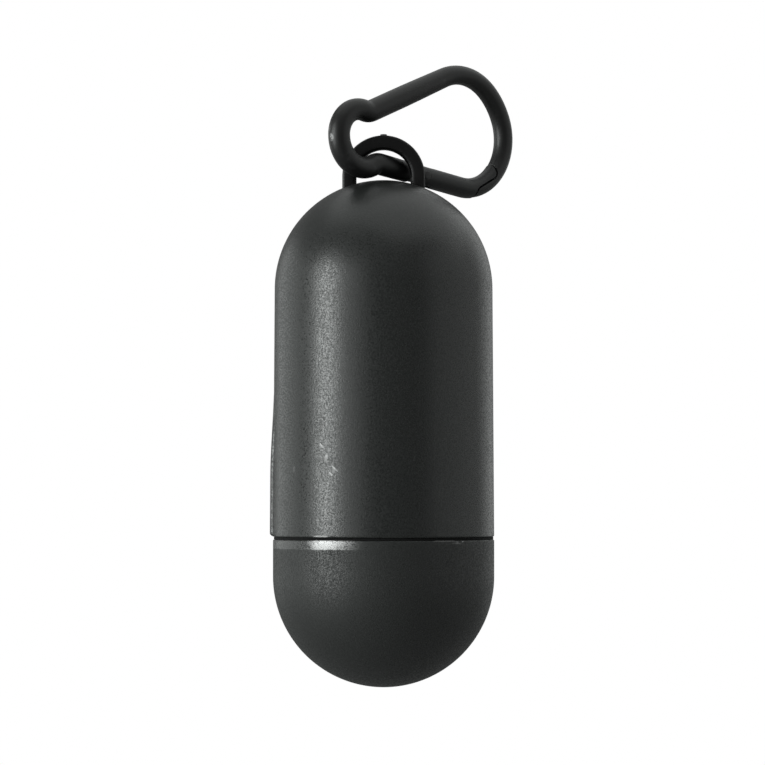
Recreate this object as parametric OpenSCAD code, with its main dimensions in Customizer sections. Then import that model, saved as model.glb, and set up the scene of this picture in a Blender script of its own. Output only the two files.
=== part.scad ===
// Capsule dispenser for a roll of pet waste bags, hung from a small sprung snap clip.
// Millimetres. +Z is up and the capsule's axis is vertical. The clip's loop stands upright,
// turned about the vertical so that its wire passes in front of one leg of the capsule's
// eye and behind the other. The origin is where a ring bears inside the clip's large end.

/* [Capsule] */
// How much narrower the shell's crown is than its rim, for the mould's draft
shell_draft = 0.5; // [0.3:0.1:1]
// Height of the shell from its rim to the top of the crown
shell_h = 61.2; // [60:0.1:75]
// Height of the cap below the seam
cap_h = 25.7; // [24:0.1:32]
// Wall of the shell, and of the cap at its bottom
wall = 1.7; // [1.2:0.1:2]
// Open height of the seam between the shell's rim and the cap
seam_gap = 0.4; // [0.2:0.05:0.8]
// Chamfer on the shell's rim and on the cap's shoulder
rim_chamfer = 0.3; // [0.1:0.05:0.5]

/* [Screw neck] */
// Height of the cap's neck above the seam
neck_h = 7.5; // [6:0.1:8]
// Wall of the neck
neck_wall = 1.1; // [0.8:0.1:1.6]
// Room between the neck and the shell's bore for the screw thread
neck_gap = 0.7; // [0.5:0.05:1]
// Thickness of the flat seal ring
seal_t = 0.8; // [0.6:0.05:1.2]
// Radial width of the seal ring
seal_w = 1.15; // [0.8:0.05:1.4]
// Clearance round the seal ring in its seat
seal_fit = 0.1; // [0.05:0.05:0.2]
// How far the lip of the seal stands back from the chamfers at the seam
seal_back = 0.1; // [0.05:0.05:0.5]
// Room between the roll of bags and the neck's bore, on every side
roll_play = 0.7; // [0.5:0.05:1.5]

/* [Dispensing slot] */
// Width of the slot in the shell's side
slot_w = 6; // [5.5:0.1:8]
// Height of the slot
slot_h = 13.5; // [8:0.1:18]
// Height of the slot's middle above the shell's rim
slot_z = 15.3; // [15:0.1:24]
// Angle of the slot behind the shell's left side
slot_turn = 11; // [0:1:40]
// Width of the raised pad round the slot
pad_w = 12; // [10:0.1:16]
// Height of the pad above the shell's rim
pad_h = 26; // [25:0.1:34]
// How far the pad stands out of the wall
pad_rise = 0.55; // [0.3:0.05:1]

/* [Roll of bags] */
// Diameter of the wound film, which sets the diameter of the capsule
roll_d = 29.5; // [28:0.1:33]
// Length of the wound film
roll_h = 60; // [50:0.5:60]
// Outer diameter of the cardboard core
core_d = 17; // [14:0.1:20]
// Wall of the core
core_wall = 1.2; // [0.8:0.1:2]
// How far the core stands back from each end of the film
core_inset = 0.6; // [0.2:0.1:2]
// Rounding of the film's end edges
roll_edge = 0.8; // [0.4:0.1:2]
// Clearance between the roll's lower edge and the cap's bowl
roll_seat = 0.3; // [0.1:0.05:0.5]

/* [Hanging eye] */
// Outside width of the eye's arch
eye_w = 14.2; // [13.6:0.1:16]
// Width of the eye's hole
eye_hole_w = 9.3; // [9:0.1:10]
// Depth of the eye from front to back
eye_depth = 2.6; // [2.2:0.1:2.7]
// Edge rounding of the eye's bar
eye_round = 0.7; // [0.4:0.05:1]
// Height of the arch's centre above the crown
eye_rise = 0.6; // [0.5:0.1:2]
// Height of the hanging wire's axis above the arch's centre
eye_drop = 1.97; // [1.7:0.01:2.2]
// Diameter of the small moulding stub on top of the arch
stub_d = 1.2; // [0.6:0.1:2]
// Height of the moulding stub
stub_h = 0.25; // [0.1:0.05:0.4]
// Clearance of the eye's legs in the crown
leg_fit = 0.1; // [0.05:0.05:0.2]
// How far the foot on each leg reaches past the leg
foot_lip = 0.5; // [0.3:0.1:0.8]
// Depth of the feet below the crown's inner face at the leg
foot_t = 1.7; // [1.4:0.1:2.5]

/* [Clip loop] */
// Angle between the clip's loop and the eye's arch, about the vertical
clip_turn = 42; // [41:0.5:46]
// How far the clip's plane lies in front of the eye's middle
clip_ahead = 0.2; // [0:0.05:0.3]
// Fall of the gate side below the horizontal
gate_fall = 8.6; // [6:0.1:10]
// Wire diameter at the gate's hinge
hinge_wire_d = 3.58; // [3.4:0.05:3.7]
// Wire diameter round the small end and at the start of the spine
wire_d = 3.75; // [3.5:0.05:3.8]
// Wire diameter round the large end
far_wire_d = 3.35; // [3.2:0.05:3.6]
// Step in diameter where one length of wire runs on into the next
wire_step = 0.02; // [0.01:0.005:0.03]
// Distance along the wire from the eye to the gate's pivot
pivot_out = 8.7; // [8.5:0.05:9.2]
// Straight wire past the eye on the small end's side
run_in = 1.1; // [0.9:0.05:1.4]
// Centreline radius of the pinch inside the eye
pinch_low_r = 2.4; // [2:0.1:3]
// Turn of the pinch inside the eye
pinch_low_turn = 35.9; // [32:0.1:40]
// Centreline radius of the small end's lower half
bulb_low_r = 5.35; // [5:0.05:5.6]
// Turn of the small end's lower half
bulb_low_turn = 117.3; // [113:0.1:121]
// Centreline radius of the small end's upper half
bulb_r = 4.6; // [4.3:0.05:5]
// Turn of the small end's upper half
bulb_turn = 105.4; // [101:0.1:109]
// Centreline radius of the pinch at the foot of the spine
pinch_high_r = 2.4; // [2:0.1:4]
// Turn of the pinch at the foot of the spine
pinch_high_turn = 37.9; // [34:0.1:42]
// Centreline radius of the bend at the top of the spine
top_r = 10; // [8:0.1:11]
// Turn of the bend at the top of the spine
top_turn = 64.6; // [60:0.1:72]
// Centreline radius of the far side
side_r = 12.6; // [11:0.1:16]
// Turn of the far side
side_turn = 26.8; // [22:0.1:36]
// Centreline radius of the bend at the nose
nose_r = 9.1; // [8.5:0.01:9.6]

/* [Gate and nose] */
// Diameter of the gate
gate_d = 3.55; // [3.3:0.05:3.6]
// Distance from the pivot to the outer part of the gate's end
lip_r = 12.2; // [11.8:0.05:12.6]
// Distance from the pivot to the inner part of the gate's end
tip_r = 16.75; // [16.2:0.05:17]
// Slope of the ledge between the two parts of the gate's end
ledge_slope = 35.7; // [32:0.1:40]
// Distance of the ledge's line from the pivot
ledge_off = 6.89; // [6.6:0.01:7.2]
// Rounding at both ends of the ledge
ledge_round = 1.2; // [0.6:0.1:1.4]
// Running gap between the gate and the nose
nose_gap = 0.18; // [0.12:0.01:0.25]

/* [Gate hinge] */
// Diameter of the rivet
rivet_d = 1.5; // [1.2:0.1:1.7]
// How far each end of the rivet stands out of the gate
rivet_proud = 0.05; // [0:0.01:0.15]
// Clearance of the rivet in the tongue
rivet_fit = 0.05; // [0.03:0.01:0.1]
// Thickness of the tongue between the gate's ears
tongue_t = 1.2; // [1:0.05:1.4]
// Height of the tongue
tongue_h = 2.9; // [2.6:0.1:3]
// Distance from the pivot to the flat end of the tongue
tongue_end = 1.5; // [1.3:0.05:1.6]
// Running clearance round the tongue and behind the gate's ears
hinge_gap = 0.1; // [0.07:0.01:0.15]
// Diameter of the bore for the plunger and spring
plunger_bore_d = 2; // [1.8:0.05:2.2]
// Depth of the bore from the pivot
plunger_bore_h = 8.2; // [7.6:0.1:8.4]
// Clearance of the plunger in its bore
plunger_fit = 0.1; // [0.05:0.01:0.15]
// Length of the plunger's head
plunger_head = 1.7; // [1.2:0.1:2]
// Diameter of the plunger's stem
plunger_stem_d = 0.8; // [0.5:0.05:0.9]
// Length of the plunger's stem
plunger_stem_h = 2; // [1:0.1:2.4]
// Wire diameter of the gate's spring
spring_wire_d = 0.3; // [0.2:0.01:0.32]
// Number of turns of the spring
spring_turns = 7; // [5:1:9]

/* [Hidden] */
$fn = 64;

// Radii of the capsule, from the roll outwards
rim_r = roll_d / 2 + roll_play + neck_wall + neck_gap + wall;
crown_r = rim_r - shell_draft / 2;
capsule_d = 2 * rim_r;
dome_z = shell_h - crown_r;
bowl_z = -(cap_h - rim_r);
bowl_r = rim_r - wall;
bore_r = rim_r - wall;
neck_r = bore_r - neck_gap;
neck_bore_r = neck_r - neck_wall;
seal_in_r = neck_r + seal_fit;
seal_out_r = seal_in_r + seal_w;
seal_lip_r = rim_r - rim_chamfer - seal_back;
draft = (rim_r - crown_r) / dome_z;

// The roll stands with its lower edge on the cap's bowl
edge_r = roll_d / 2 - roll_edge;
roll_z = bowl_z - roll_edge - sqrt(pow(bowl_r - roll_edge - roll_seat, 2) - pow(edge_r, 2));

// The eye, and the height of the hanging wire's axis above the shell's rim
eye_bar = (eye_w - eye_hole_w) / 2;
eye_r = (eye_w + eye_hole_w) / 4;
eye_z = shell_h + eye_rise;
hang_z = eye_z + eye_drop;
crown_in_r = crown_r - wall;
foot_z = dome_z + sqrt(pow(crown_in_r, 2) - pow(eye_r, 2)) - foot_t;

// The clip lies flat in its own plane, x along the loop and y up, with the eye at the origin.
// A pose is [x, y, heading]. A step is [length, turn, radius], and a run has radius 0.
function ahead(pose, length) =
    [pose.x + length * cos(pose.z), pose.y + length * sin(pose.z), pose.z];
function round_bend(pose, radius, turn) =
    let (s = sign(turn) * radius, h = pose.z + turn)
    [pose.x - s * sin(pose.z) + s * sin(h), pose.y + s * cos(pose.z) - s * cos(h), h];
function after(pose, step) =
    step[2] == 0 ? ahead(pose, step[0]) : round_bend(pose, step[2], step[1]);
function walk(pose, steps, n) = n == 0 ? pose : after(walk(pose, steps, n - 1), steps[n - 1]);
function place(pose) = [pose.x, pose.y];

pivot = ahead([0, 0, -gate_fall], pivot_out);
hinge_run = pivot_out + run_in;
small_end_turn = bulb_low_turn + bulb_turn - pinch_low_turn - pinch_high_turn;
nose_turn = 360 - small_end_turn - top_turn - side_turn;
spine_heading = 180 - gate_fall - small_end_turn;

// The loop from the pivot round to the gate's line. The spine's length and the gate's
// length are the two that close it.
function loop_steps(spine) = [
    [hinge_run, 0, 0],
    [0, pinch_low_turn, pinch_low_r],
    [0, -bulb_low_turn, bulb_low_r],
    [0, -bulb_turn, bulb_r],
    [0, pinch_high_turn, pinch_high_r],
    [spine, 0, 0],
    [0, -top_turn, top_r],
    [0, -side_turn, side_r],
    [0, -nose_turn, nose_r]
];
start = [pivot.x, pivot.y, 180 - gate_fall];
open_end = place(walk(start, loop_steps(0), 9));
to_close = place(pivot) - open_end;
spine_dir = [cos(spine_heading), sin(spine_heading)];
gate_dir = [cos(180 - gate_fall), sin(180 - gate_fall)];
spine_l = cross(to_close, gate_dir) / cross(spine_dir, gate_dir);
gate_l = cross(spine_dir, to_close) / cross(spine_dir, gate_dir);
steps = loop_steps(spine_l);
function pose_at(n) = walk(start, steps, n);

// The basket: the inner face of the wire at the middle of the far side
basket_pose = round_bend(pose_at(7), side_r, -side_turn / 2);
basket = place(basket_pose)
    + (far_wire_d - wire_step) / 2 * [sin(basket_pose.z), -cos(basket_pose.z)];
origin = [basket.x * cos(clip_turn) + clip_ahead * sin(clip_turn),
          basket.x * sin(clip_turn) - clip_ahead * cos(clip_turn), basket.y];

// How far a length of wire runs on into the next
overrun = 0.1;

// The hinge end of the loop
ear_r = gate_d / 2 + 0.05;
shoulder = ear_r + 2 * hinge_gap;
tongue_corner_r = norm([tongue_end, tongue_h / 2]) - 0.1;
gate_slot_end = tongue_corner_r + 2 * hinge_gap;
plunger_x = tongue_end + hinge_gap;
spring_x = plunger_x + plunger_head;
spring_l = plunger_bore_h - spring_x;
spring_mean_d = plunger_bore_d - 2 * plunger_fit - spring_wire_d;

// Stands the clip's flat plane upright, turned about the vertical, with the origin moved
module in_clip() {
    translate(-origin) rotate([90, 0, clip_turn]) translate([0, 0, clip_ahead]) children();
}

// The gate's own frame: the pivot at its origin and x along the gate
module in_gate() {
    in_clip() translate([pivot.x, pivot.y, 0]) rotate(-gate_fall) children();
}

// The capsule's own frame: its axis on z and the shell's rim at z = 0
module in_capsule() {
    translate([0, 0, -hang_z] - origin) children();
}

module at_pose(pose) {
    translate([pose.x, pose.y, 0]) rotate(pose.z) children();
}

// A straight length of wire from the origin along x
module rod(length, d1, d2) {
    rotate([0, 90, 0]) cylinder(h = length, d1 = d1, d2 = d2);
}

// A bent length of wire that leaves the origin along x and turns left or right. It can
// start and end a little early and late, to run on into thicker wire.
module bend(radius, turn, d, overrun = 0) {
    more = overrun / radius * 180 / PI;
    translate([0, sign(turn) * radius, 0])
        rotate_extrude(angle = abs(turn) + 2 * more,
                       start = (turn > 0 ? -90 : 90 - abs(turn)) - more)
            translate([radius, 0])
                circle(d = d);
}

function arc(centre, radius, from, to, count) =
    [for (i = [0:count]) let (a = from + (to - from) * i / count)
        centre + radius * [cos(a), sin(a)]];

// Outline, in the gate's frame, of all that lies on the gate's side of the S-shaped joint.
// The two ends of the S are arcs about the pivot, so the gate swings clear of the nose.
module gate_side(gap) {
    off = [-sin(ledge_slope), cos(ledge_slope)];
    along = [cos(ledge_slope), sin(ledge_slope)];
    tip_c = (ledge_round - ledge_off) * off
        + sqrt(pow(tip_r - ledge_round, 2) - pow(ledge_round - ledge_off, 2)) * along;
    lip_c = -(ledge_round + ledge_off) * off
        + sqrt(pow(lip_r + ledge_round, 2) - pow(ledge_round + ledge_off, 2)) * along;
    tip_a = atan2(tip_c.y, tip_c.x);
    lip_a = atan2(lip_c.y, lip_c.x);
    polygon(concat(
        [[-gate_d, gate_d], [-gate_d, -gate_d]],
        arc([0, 0], lip_r + gap, -20, lip_a - 4, 3),
        arc(lip_c, ledge_round - gap, lip_a + 180, ledge_slope + 90, 5),
        arc(tip_c, ledge_round + gap, ledge_slope - 90, tip_a, 6),
        arc([0, 0], tip_r + gap, tip_a + 4, 35, 3)));
}

// Flat tongue that carries the gate. The plunger presses on its squared end.
module tongue() {
    linear_extrude(tongue_t, center = true)
        difference() {
            intersection() {
                translate([-shoulder - 1, -tongue_h / 2])
                    square([shoulder + 1 + tongue_end, tongue_h]);
                union() {
                    circle(r = tongue_corner_r);
                    translate([-shoulder - 1, -tongue_h]) square([shoulder + 1, 2 * tongue_h]);
                }
            }
            circle(d = rivet_d + 2 * rivet_fit);
        }
}

// Bent wire frame: hinge end, small end with its pinched neck, spine, large end and nose
module clip_frame() {
    color([0.13, 0.13, 0.14]) {
        in_clip() {
            at_pose(ahead(start, shoulder))
                rod(hinge_run - shoulder + overrun, hinge_wire_d, wire_d - wire_step);
            at_pose(pose_at(1)) bend(pinch_low_r, pinch_low_turn, wire_d);
            at_pose(pose_at(2)) bend(bulb_low_r, -bulb_low_turn, wire_d - wire_step, overrun);
            at_pose(pose_at(3)) bend(bulb_r, -bulb_turn, wire_d - 2 * wire_step, overrun);
            at_pose(pose_at(4)) bend(pinch_high_r, pinch_high_turn, wire_d);
            at_pose(ahead(pose_at(5), -overrun))
                rod(spine_l + 2 * overrun, wire_d - wire_step, far_wire_d - wire_step);
            at_pose(pose_at(6)) bend(top_r, -top_turn, far_wire_d);
            at_pose(pose_at(7)) bend(side_r, -side_turn, far_wire_d - wire_step, overrun);
        }
        difference() {
            in_clip() at_pose(pose_at(8)) bend(nose_r, -nose_turn, far_wire_d);
            in_gate() linear_extrude(2 * wire_d, center = true) gate_side(nose_gap);
        }
        in_gate() tongue();
    }
}

// Gate: a rod that follows the frame's last bend, forked at the hinge and stepped at the nose
module clip_gate() {
    color([0.15, 0.15, 0.16])
        in_gate()
            difference() {
                intersection() {
                    union() {
                        translate([-ear_r, 0, 0])
                            rod(ear_r + gate_l + overrun, gate_d - wire_step, gate_d - wire_step);
                        translate([gate_l, 0, 0]) bend(nose_r, 60, gate_d);
                    }
                    linear_extrude(2 * wire_d, center = true)
                        intersection() {
                            gate_side(0);
                            union() {
                                circle(r = ear_r);
                                translate([0, -2 * wire_d]) square([2 * tip_r, 2 * tip_r]);
                            }
                        }
                }
                translate([-2 * ear_r, -gate_d, -tongue_t / 2 - hinge_gap])
                    cube([2 * ear_r + gate_slot_end, 2 * gate_d, tongue_t + 2 * hinge_gap]);
                translate([-2 * ear_r, 0, 0])
                    rod(2 * ear_r + plunger_bore_h, plunger_bore_d, plunger_bore_d);
                cylinder(h = 2 * wire_d, d = rivet_d, center = true);
            }
}

module gate_rivet() {
    color([0.55, 0.55, 0.57])
        in_gate() cylinder(h = gate_d + 2 * rivet_proud, d = rivet_d, center = true);
}

// Plunger: its head bears on the tongue's end and its stem guides the spring
module gate_plunger() {
    head_d = plunger_bore_d - 2 * plunger_fit;
    color([0.7, 0.7, 0.72])
        in_gate() {
            translate([plunger_x, 0, 0]) rod(0.2, head_d - 0.4, head_d);
            translate([plunger_x + 0.2, 0, 0]) rod(plunger_head - 0.2, head_d, head_d);
            translate([spring_x, 0, 0]) rod(plunger_stem_h, plunger_stem_d, plunger_stem_d);
        }
}

// Compression spring: one unbroken tube swept along a helix
module gate_spring() {
    rings = 10 * spring_turns;
    sides = 6;
    r = spring_mean_d / 2;
    w = spring_wire_d / 2;
    run = spring_l - 2 * w - 0.1;
    points = [for (i = [0:rings], j = [0:sides - 1])
        let (a = 360 * spring_turns * i / rings, b = 360 * j / sides)
        [w + 0.05 + run * i / rings + w * sin(b), (r + w * cos(b)) * cos(a), (r + w * cos(b)) * sin(a)]];
    sides_of_tube = [for (i = [0:rings - 1], j = [0:sides - 1], half = [0, 1])
        let (k = (j + 1) % sides, p = i * sides, q = p + sides)
        half == 0 ? [p + j, p + k, q + k] : [p + j, q + k, q + j]];
    ends = [[for (j = [sides - 1:-1:0]) j], [for (j = [0:sides - 1]) rings * sides + j]];
    color([0.75, 0.75, 0.77])
        in_gate() translate([spring_x, 0, 0])
            polyhedron(points, concat(sides_of_tube, ends));
}

// Section of the eye's bar: a rectangle with rounded corners
module eye_section() {
    x = eye_bar / 2 - eye_round;
    y = eye_depth / 2 - eye_round;
    square([eye_bar, 2 * y], center = true);
    square([2 * x, eye_depth], center = true);
    for (i = [-1, 1], j = [-1, 1])
        translate([i * x, j * y]) circle(r = eye_round);
}

// Hanging eye: an arch whose legs pass through the crown and end in feet under it
module hanging_eye() {
    leg = eye_z - foot_z;
    color([0.06, 0.06, 0.065])
        in_capsule() {
            translate([0, 0, eye_z]) {
                rotate([90, 0, 0])
                    rotate_extrude(angle = 180) translate([eye_r, 0]) eye_section();
                for (side = [-1, 1])
                    translate([side * eye_r, 0, -leg]) linear_extrude(leg) eye_section();
                translate([0, 0, eye_w / 2 - 0.3]) cylinder(h = 0.3 + stub_h, d = stub_d);
            }
            intersection() {
                translate([0, 0, dome_z]) sphere(r = crown_in_r - 0.05, $fn = 96);
                for (side = [-1, 1])
                    translate([side * eye_r, 0, foot_z + foot_t])
                        cube([eye_bar + 2 * foot_lip, eye_depth + 2 * foot_lip, 2 * foot_t],
                             center = true);
            }
        }
}

// Half section of a drafted tube closed by a dome, from z = 0 up
module shell_half(low_r, high_r) {
    intersection() {
        square([2 * capsule_d, 2 * shell_h]);
        union() {
            polygon([[0, 0], [low_r, 0], [high_r, dome_z], [0, dome_z]]);
            translate([0, dome_z]) circle(r = high_r, $fn = 128);
        }
    }
}

// Prism with the slot's or the pad's outline, pointing out of the shell's side
module through_side(low, high, width) {
    rotate(180 - slot_turn)
        rotate([90, 0, 90])
            linear_extrude(capsule_d)
                union() {
                    translate([0, high - width / 2]) circle(d = width);
                    translate([-width / 2, low]) square([width, high - low - width / 2]);
                }
}

// Shell: the drafted tube and crown, with the raised pad and the dispensing slot
module shell() {
    slot_low = slot_z - slot_h / 2;
    color([0.22, 0.22, 0.23])
        in_capsule()
            difference() {
                union() {
                    rotate_extrude($fn = 128)
                        difference() {
                            shell_half(rim_r, crown_r);
                            polygon([[rim_r - rim_chamfer, 0], [rim_r, -1], [capsule_d, -1],
                                     [capsule_d, capsule_d - rim_r + rim_chamfer]]);
                        }
                    intersection() {
                        rotate_extrude($fn = 128)
                            polygon([[bore_r + 0.3, rim_chamfer],
                                     [rim_r + pad_rise - rim_chamfer, rim_chamfer],
                                     [rim_r + pad_rise, 2 * rim_chamfer],
                                     [rim_r + pad_rise, pad_h * 0.45],
                                     [rim_r + 0.03 - draft * pad_h, pad_h],
                                     [bore_r + 0.3, pad_h]]);
                        through_side(0, pad_h, pad_w);
                    }
                }
                translate([0, 0, -1]) cylinder(h = 1.01, r = bore_r, $fn = 128);
                rotate_extrude($fn = 128) shell_half(bore_r, crown_in_r);
                through_side(slot_low + slot_w / 2, slot_low + slot_h, slot_w);
                rotate(180 - slot_turn)
                    translate([0, 0, slot_low + slot_w / 2])
                        rotate([0, 90, 0]) cylinder(h = capsule_d, d = slot_w);
                for (side = [-1, 1])
                    translate([side * eye_r, 0, shell_h])
                        cube([eye_bar + 2 * leg_fit, eye_depth + 2 * leg_fit, 2 * foot_t + 6],
                             center = true);
            }
}

// Ring that seals the shell's rim on the cap, with a thin lip that fills the seam
module seal_ring() {
    color([0.05, 0.05, 0.05])
        in_capsule()
            rotate_extrude($fn = 128) {
                translate([seal_in_r, -seal_t]) square([seal_w, seal_t]);
                translate([seal_in_r, -seam_gap]) square([seal_lip_r - seal_in_r, seam_gap]);
            }
}

// Cap: a round-bottomed cup with a neck that screws into the shell
module cap() {
    color([0.22, 0.22, 0.23])
        in_capsule()
            rotate_extrude($fn = 128)
                difference() {
                    union() {
                        difference() {
                            union() {
                                translate([0, bowl_z]) square([rim_r, -bowl_z - seam_gap]);
                                translate([0, bowl_z]) circle(r = rim_r, $fn = 128);
                            }
                            translate([0, -seam_gap]) square([capsule_d, capsule_d]);
                            polygon([[rim_r - rim_chamfer, -seam_gap], [rim_r, 1],
                                     [capsule_d, 1], [capsule_d, -capsule_d],
                                     [rim_r, -seam_gap - rim_chamfer]]);
                        }
                        translate([0, -1]) square([neck_r, 1 + neck_h - 0.4]);
                        polygon([[0, neck_h - 0.5], [neck_r, neck_h - 0.4],
                                 [neck_r - 0.4, neck_h], [0, neck_h]]);
                    }
                    translate([neck_r, -seal_t])
                        square([seal_out_r + seal_fit - neck_r, seal_t]);
                    intersection() {
                        translate([0, -2 * cap_h]) square([neck_bore_r, 4 * cap_h]);
                        union() {
                            translate([0, bowl_z]) circle(r = bowl_r, $fn = 128);
                            translate([0, bowl_z]) square([neck_bore_r, cap_h + neck_h]);
                        }
                    }
                    translate([-capsule_d, -2 * cap_h]) square([capsule_d, 4 * cap_h]);
                }
}

// Half section of a tube with its outer end edges rounded
module roll_half(outer_r, inner_r, height, edge) {
    difference() {
        union() {
            translate([0, edge]) square([outer_r, height - 2 * edge]);
            square([outer_r - edge, height]);
            for (z = [edge, height - edge])
                translate([outer_r - edge, z]) circle(r = edge, $fn = 32);
        }
        translate([-1, -1]) square([inner_r + 1, height + 2]);
    }
}

// Cardboard core of the roll
module roll_core() {
    color([0.72, 0.58, 0.42])
        in_capsule() translate([0, 0, roll_z + core_inset])
            difference() {
                cylinder(h = roll_h - 2 * core_inset, d = core_d);
                translate([0, 0, -1]) cylinder(h = roll_h + 2, d = core_d - 2 * core_wall);
            }
}

// Film of bags wound on the core
module bag_roll() {
    color([0.12, 0.12, 0.13])
        in_capsule() translate([0, 0, roll_z])
            rotate_extrude($fn = 96) roll_half(roll_d / 2, core_d / 2, roll_h, roll_edge);
}

clip_frame();
clip_gate();
gate_rivet();
gate_plunger();
gate_spring();
hanging_eye();
shell();
seal_ring();
cap();
roll_core();
bag_roll();
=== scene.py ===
"""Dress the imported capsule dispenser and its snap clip, and set up the studio.

Lengths are in metres in the row's frame, except in the dataclass fields that hold the
product's own sizes, which are in millimetres and are named so in their class.
"""

from __future__ import annotations

import logging
import math
from dataclasses import dataclass, field
from enum import Enum
from typing import Any, Iterable, Sequence

import bpy
import numpy as np
from numpy.typing import NDArray
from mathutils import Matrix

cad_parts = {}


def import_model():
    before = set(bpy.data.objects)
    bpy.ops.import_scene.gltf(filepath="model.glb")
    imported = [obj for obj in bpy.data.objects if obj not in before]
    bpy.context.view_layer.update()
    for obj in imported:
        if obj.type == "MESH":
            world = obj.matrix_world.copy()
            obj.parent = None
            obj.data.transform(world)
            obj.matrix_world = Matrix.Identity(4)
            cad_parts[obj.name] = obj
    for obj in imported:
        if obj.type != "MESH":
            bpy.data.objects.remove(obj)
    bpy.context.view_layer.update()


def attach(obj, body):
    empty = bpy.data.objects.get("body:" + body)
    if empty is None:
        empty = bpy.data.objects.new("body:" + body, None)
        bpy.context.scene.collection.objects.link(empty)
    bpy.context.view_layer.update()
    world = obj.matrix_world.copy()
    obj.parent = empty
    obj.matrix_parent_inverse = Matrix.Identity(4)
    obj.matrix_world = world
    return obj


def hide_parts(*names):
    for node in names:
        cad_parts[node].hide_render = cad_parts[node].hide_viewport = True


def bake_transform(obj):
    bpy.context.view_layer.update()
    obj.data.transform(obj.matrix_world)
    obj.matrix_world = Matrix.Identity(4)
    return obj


LOG = logging.getLogger("dispenser")
Array = NDArray[np.float64]
Colour = tuple[float, float, float, float]
Sockets = dict[int | str, Any]
MM = 0.001
TAU = 2 * math.pi
CREASE = 40.0


# Meshes


@dataclass
class Patch:
    """A surface on a grid of points, with the ways its edges join.

    Attributes:
        points: Array of shape (rows, columns, 3), in metres.
        around: Whether the last column joins the first.
        looped: Whether the last row joins the first.
        poles: Whether the first and the last row are each one point.
        lids: Whether the first and the last row are each closed by a flat face.
    """

    points: Array
    around: bool = True
    looped: bool = False
    poles: tuple[bool, bool] = (False, False)
    lids: tuple[bool, bool] = (False, False)

    def faces(self) -> list[list[int]]:
        """Quads of the grid, triangles at the poles and one polygon for each lid.

        Returns:
            Vertex numbers of each face, counted along the rows.
        """
        rows, columns = self.points.shape[:2]
        index = np.arange(rows * columns).reshape(rows, columns)
        if self.poles[0]:
            index[0] = index[0, 0]
        if self.poles[1]:
            index[-1] = index[-1, 0]
        if self.around:
            index = np.column_stack([index, index[:, :1]])
        if self.looped:
            index = np.vstack([index, index[:1]])
        quads = np.stack(
            [index[:-1, :-1], index[:-1, 1:], index[1:, 1:], index[1:, :-1]], axis=-1
        )
        out: list[list[int]] = []
        first = 1 if self.poles[0] else 0
        last = quads.shape[0] - (1 if self.poles[1] else 0)
        out += quads[first:last].reshape(-1, 4).tolist()
        if self.poles[0]:
            out += quads[0][:, [0, 2, 3]].tolist()
        if self.poles[1]:
            out += quads[-1][:, [0, 1, 2]].tolist()
        if self.lids[0]:
            out.append(index[0, :columns][::-1].tolist())
        if self.lids[1]:
            out.append(index[-1, :columns].tolist())
        return out


def outward(points: Array, faces: list[list[int]]) -> list[list[int]]:
    """Turn a closed surface's faces so that they point out of it.

    The signed volume is the sum of the tetrahedra that each fan triangle makes with the
    surface's own centre. Where it is negative, every face is reversed.

    Args:
        points: Vertices, of shape (n, 3).
        faces: Vertex numbers of each face.

    Returns:
        The faces, reversed or as they were.
    """
    centre = points.mean(axis=0)
    fan = [(f[0], f[k], f[k + 1]) for f in faces for k in range(1, len(f) - 1)]
    a, b, c = (points[np.array(fan)[:, k]] - centre for k in range(3))
    volume = np.einsum("ij,ij->i", a, np.cross(b, c)).sum()
    return [f[::-1] for f in faces] if volume < 0 else faces


def make_mesh(name: str, patches: Iterable[Patch]) -> bpy.types.Mesh:
    """Put closed patches into one mesh, each with its faces outwards.

    Args:
        name: Name of the new mesh.
        patches: The closed surfaces that it holds.

    Returns:
        The mesh, smooth shaded.
    """
    points: list[Array] = []
    faces: list[list[int]] = []
    start = 0
    for patch in patches:
        flat = patch.points.reshape(-1, 3)
        own = outward(flat, patch.faces())
        used, number = np.unique(np.concatenate([np.array(f) for f in own]), return_inverse=True)
        sizes = np.array([len(f) for f in own])
        parts = np.split(number + start, np.cumsum(sizes)[:-1])
        faces += [p.tolist() for p in parts]
        points.append(flat[used])
        start += len(used)
    mesh = bpy.data.meshes.new(name)
    mesh.from_pydata(np.concatenate(points).tolist(), [], faces)
    mesh.update()
    shade_smooth(mesh)
    return mesh


def shade_smooth(mesh: bpy.types.Mesh) -> None:
    """Shade a mesh smooth, but keep edges crisp that turn by more than CREASE degrees."""
    mesh.polygons.foreach_set("use_smooth", np.ones(len(mesh.polygons), bool))
    mesh.set_sharp_from_angle(angle=math.radians(CREASE))


def make_object(name: str, data: bpy.types.ID) -> bpy.types.Object:
    """Link a new object with a mesh, a lamp or a camera, at the origin.

    Args:
        name: Name of the object.
        data: What it shows.

    Returns:
        The object.
    """
    thing = bpy.data.objects.new(name, data)
    bpy.context.scene.collection.objects.link(thing)
    return thing


def solid(name: str, points: Array, **joins: Any) -> bpy.types.Object:
    """New object with one patch, whose joins are given as in Patch."""
    return make_object(name, make_mesh(name, [Patch(points, **joins)]))


class Cut(Enum):
    """How a tool changes a piece."""

    TAKE_AWAY = "DIFFERENCE"
    KEEP_INSIDE = "INTERSECT"


def settle(piece: bpy.types.Object) -> None:
    """Apply a piece's modifiers to its mesh.

    Args:
        piece: The piece, whose old mesh is removed.
    """
    graph = bpy.context.evaluated_depsgraph_get()
    mesh = bpy.data.meshes.new_from_object(piece.evaluated_get(graph))
    mesh.name = piece.name
    piece.modifiers.clear()
    old = piece.data
    piece.data = mesh
    bpy.data.meshes.remove(old)


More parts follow.
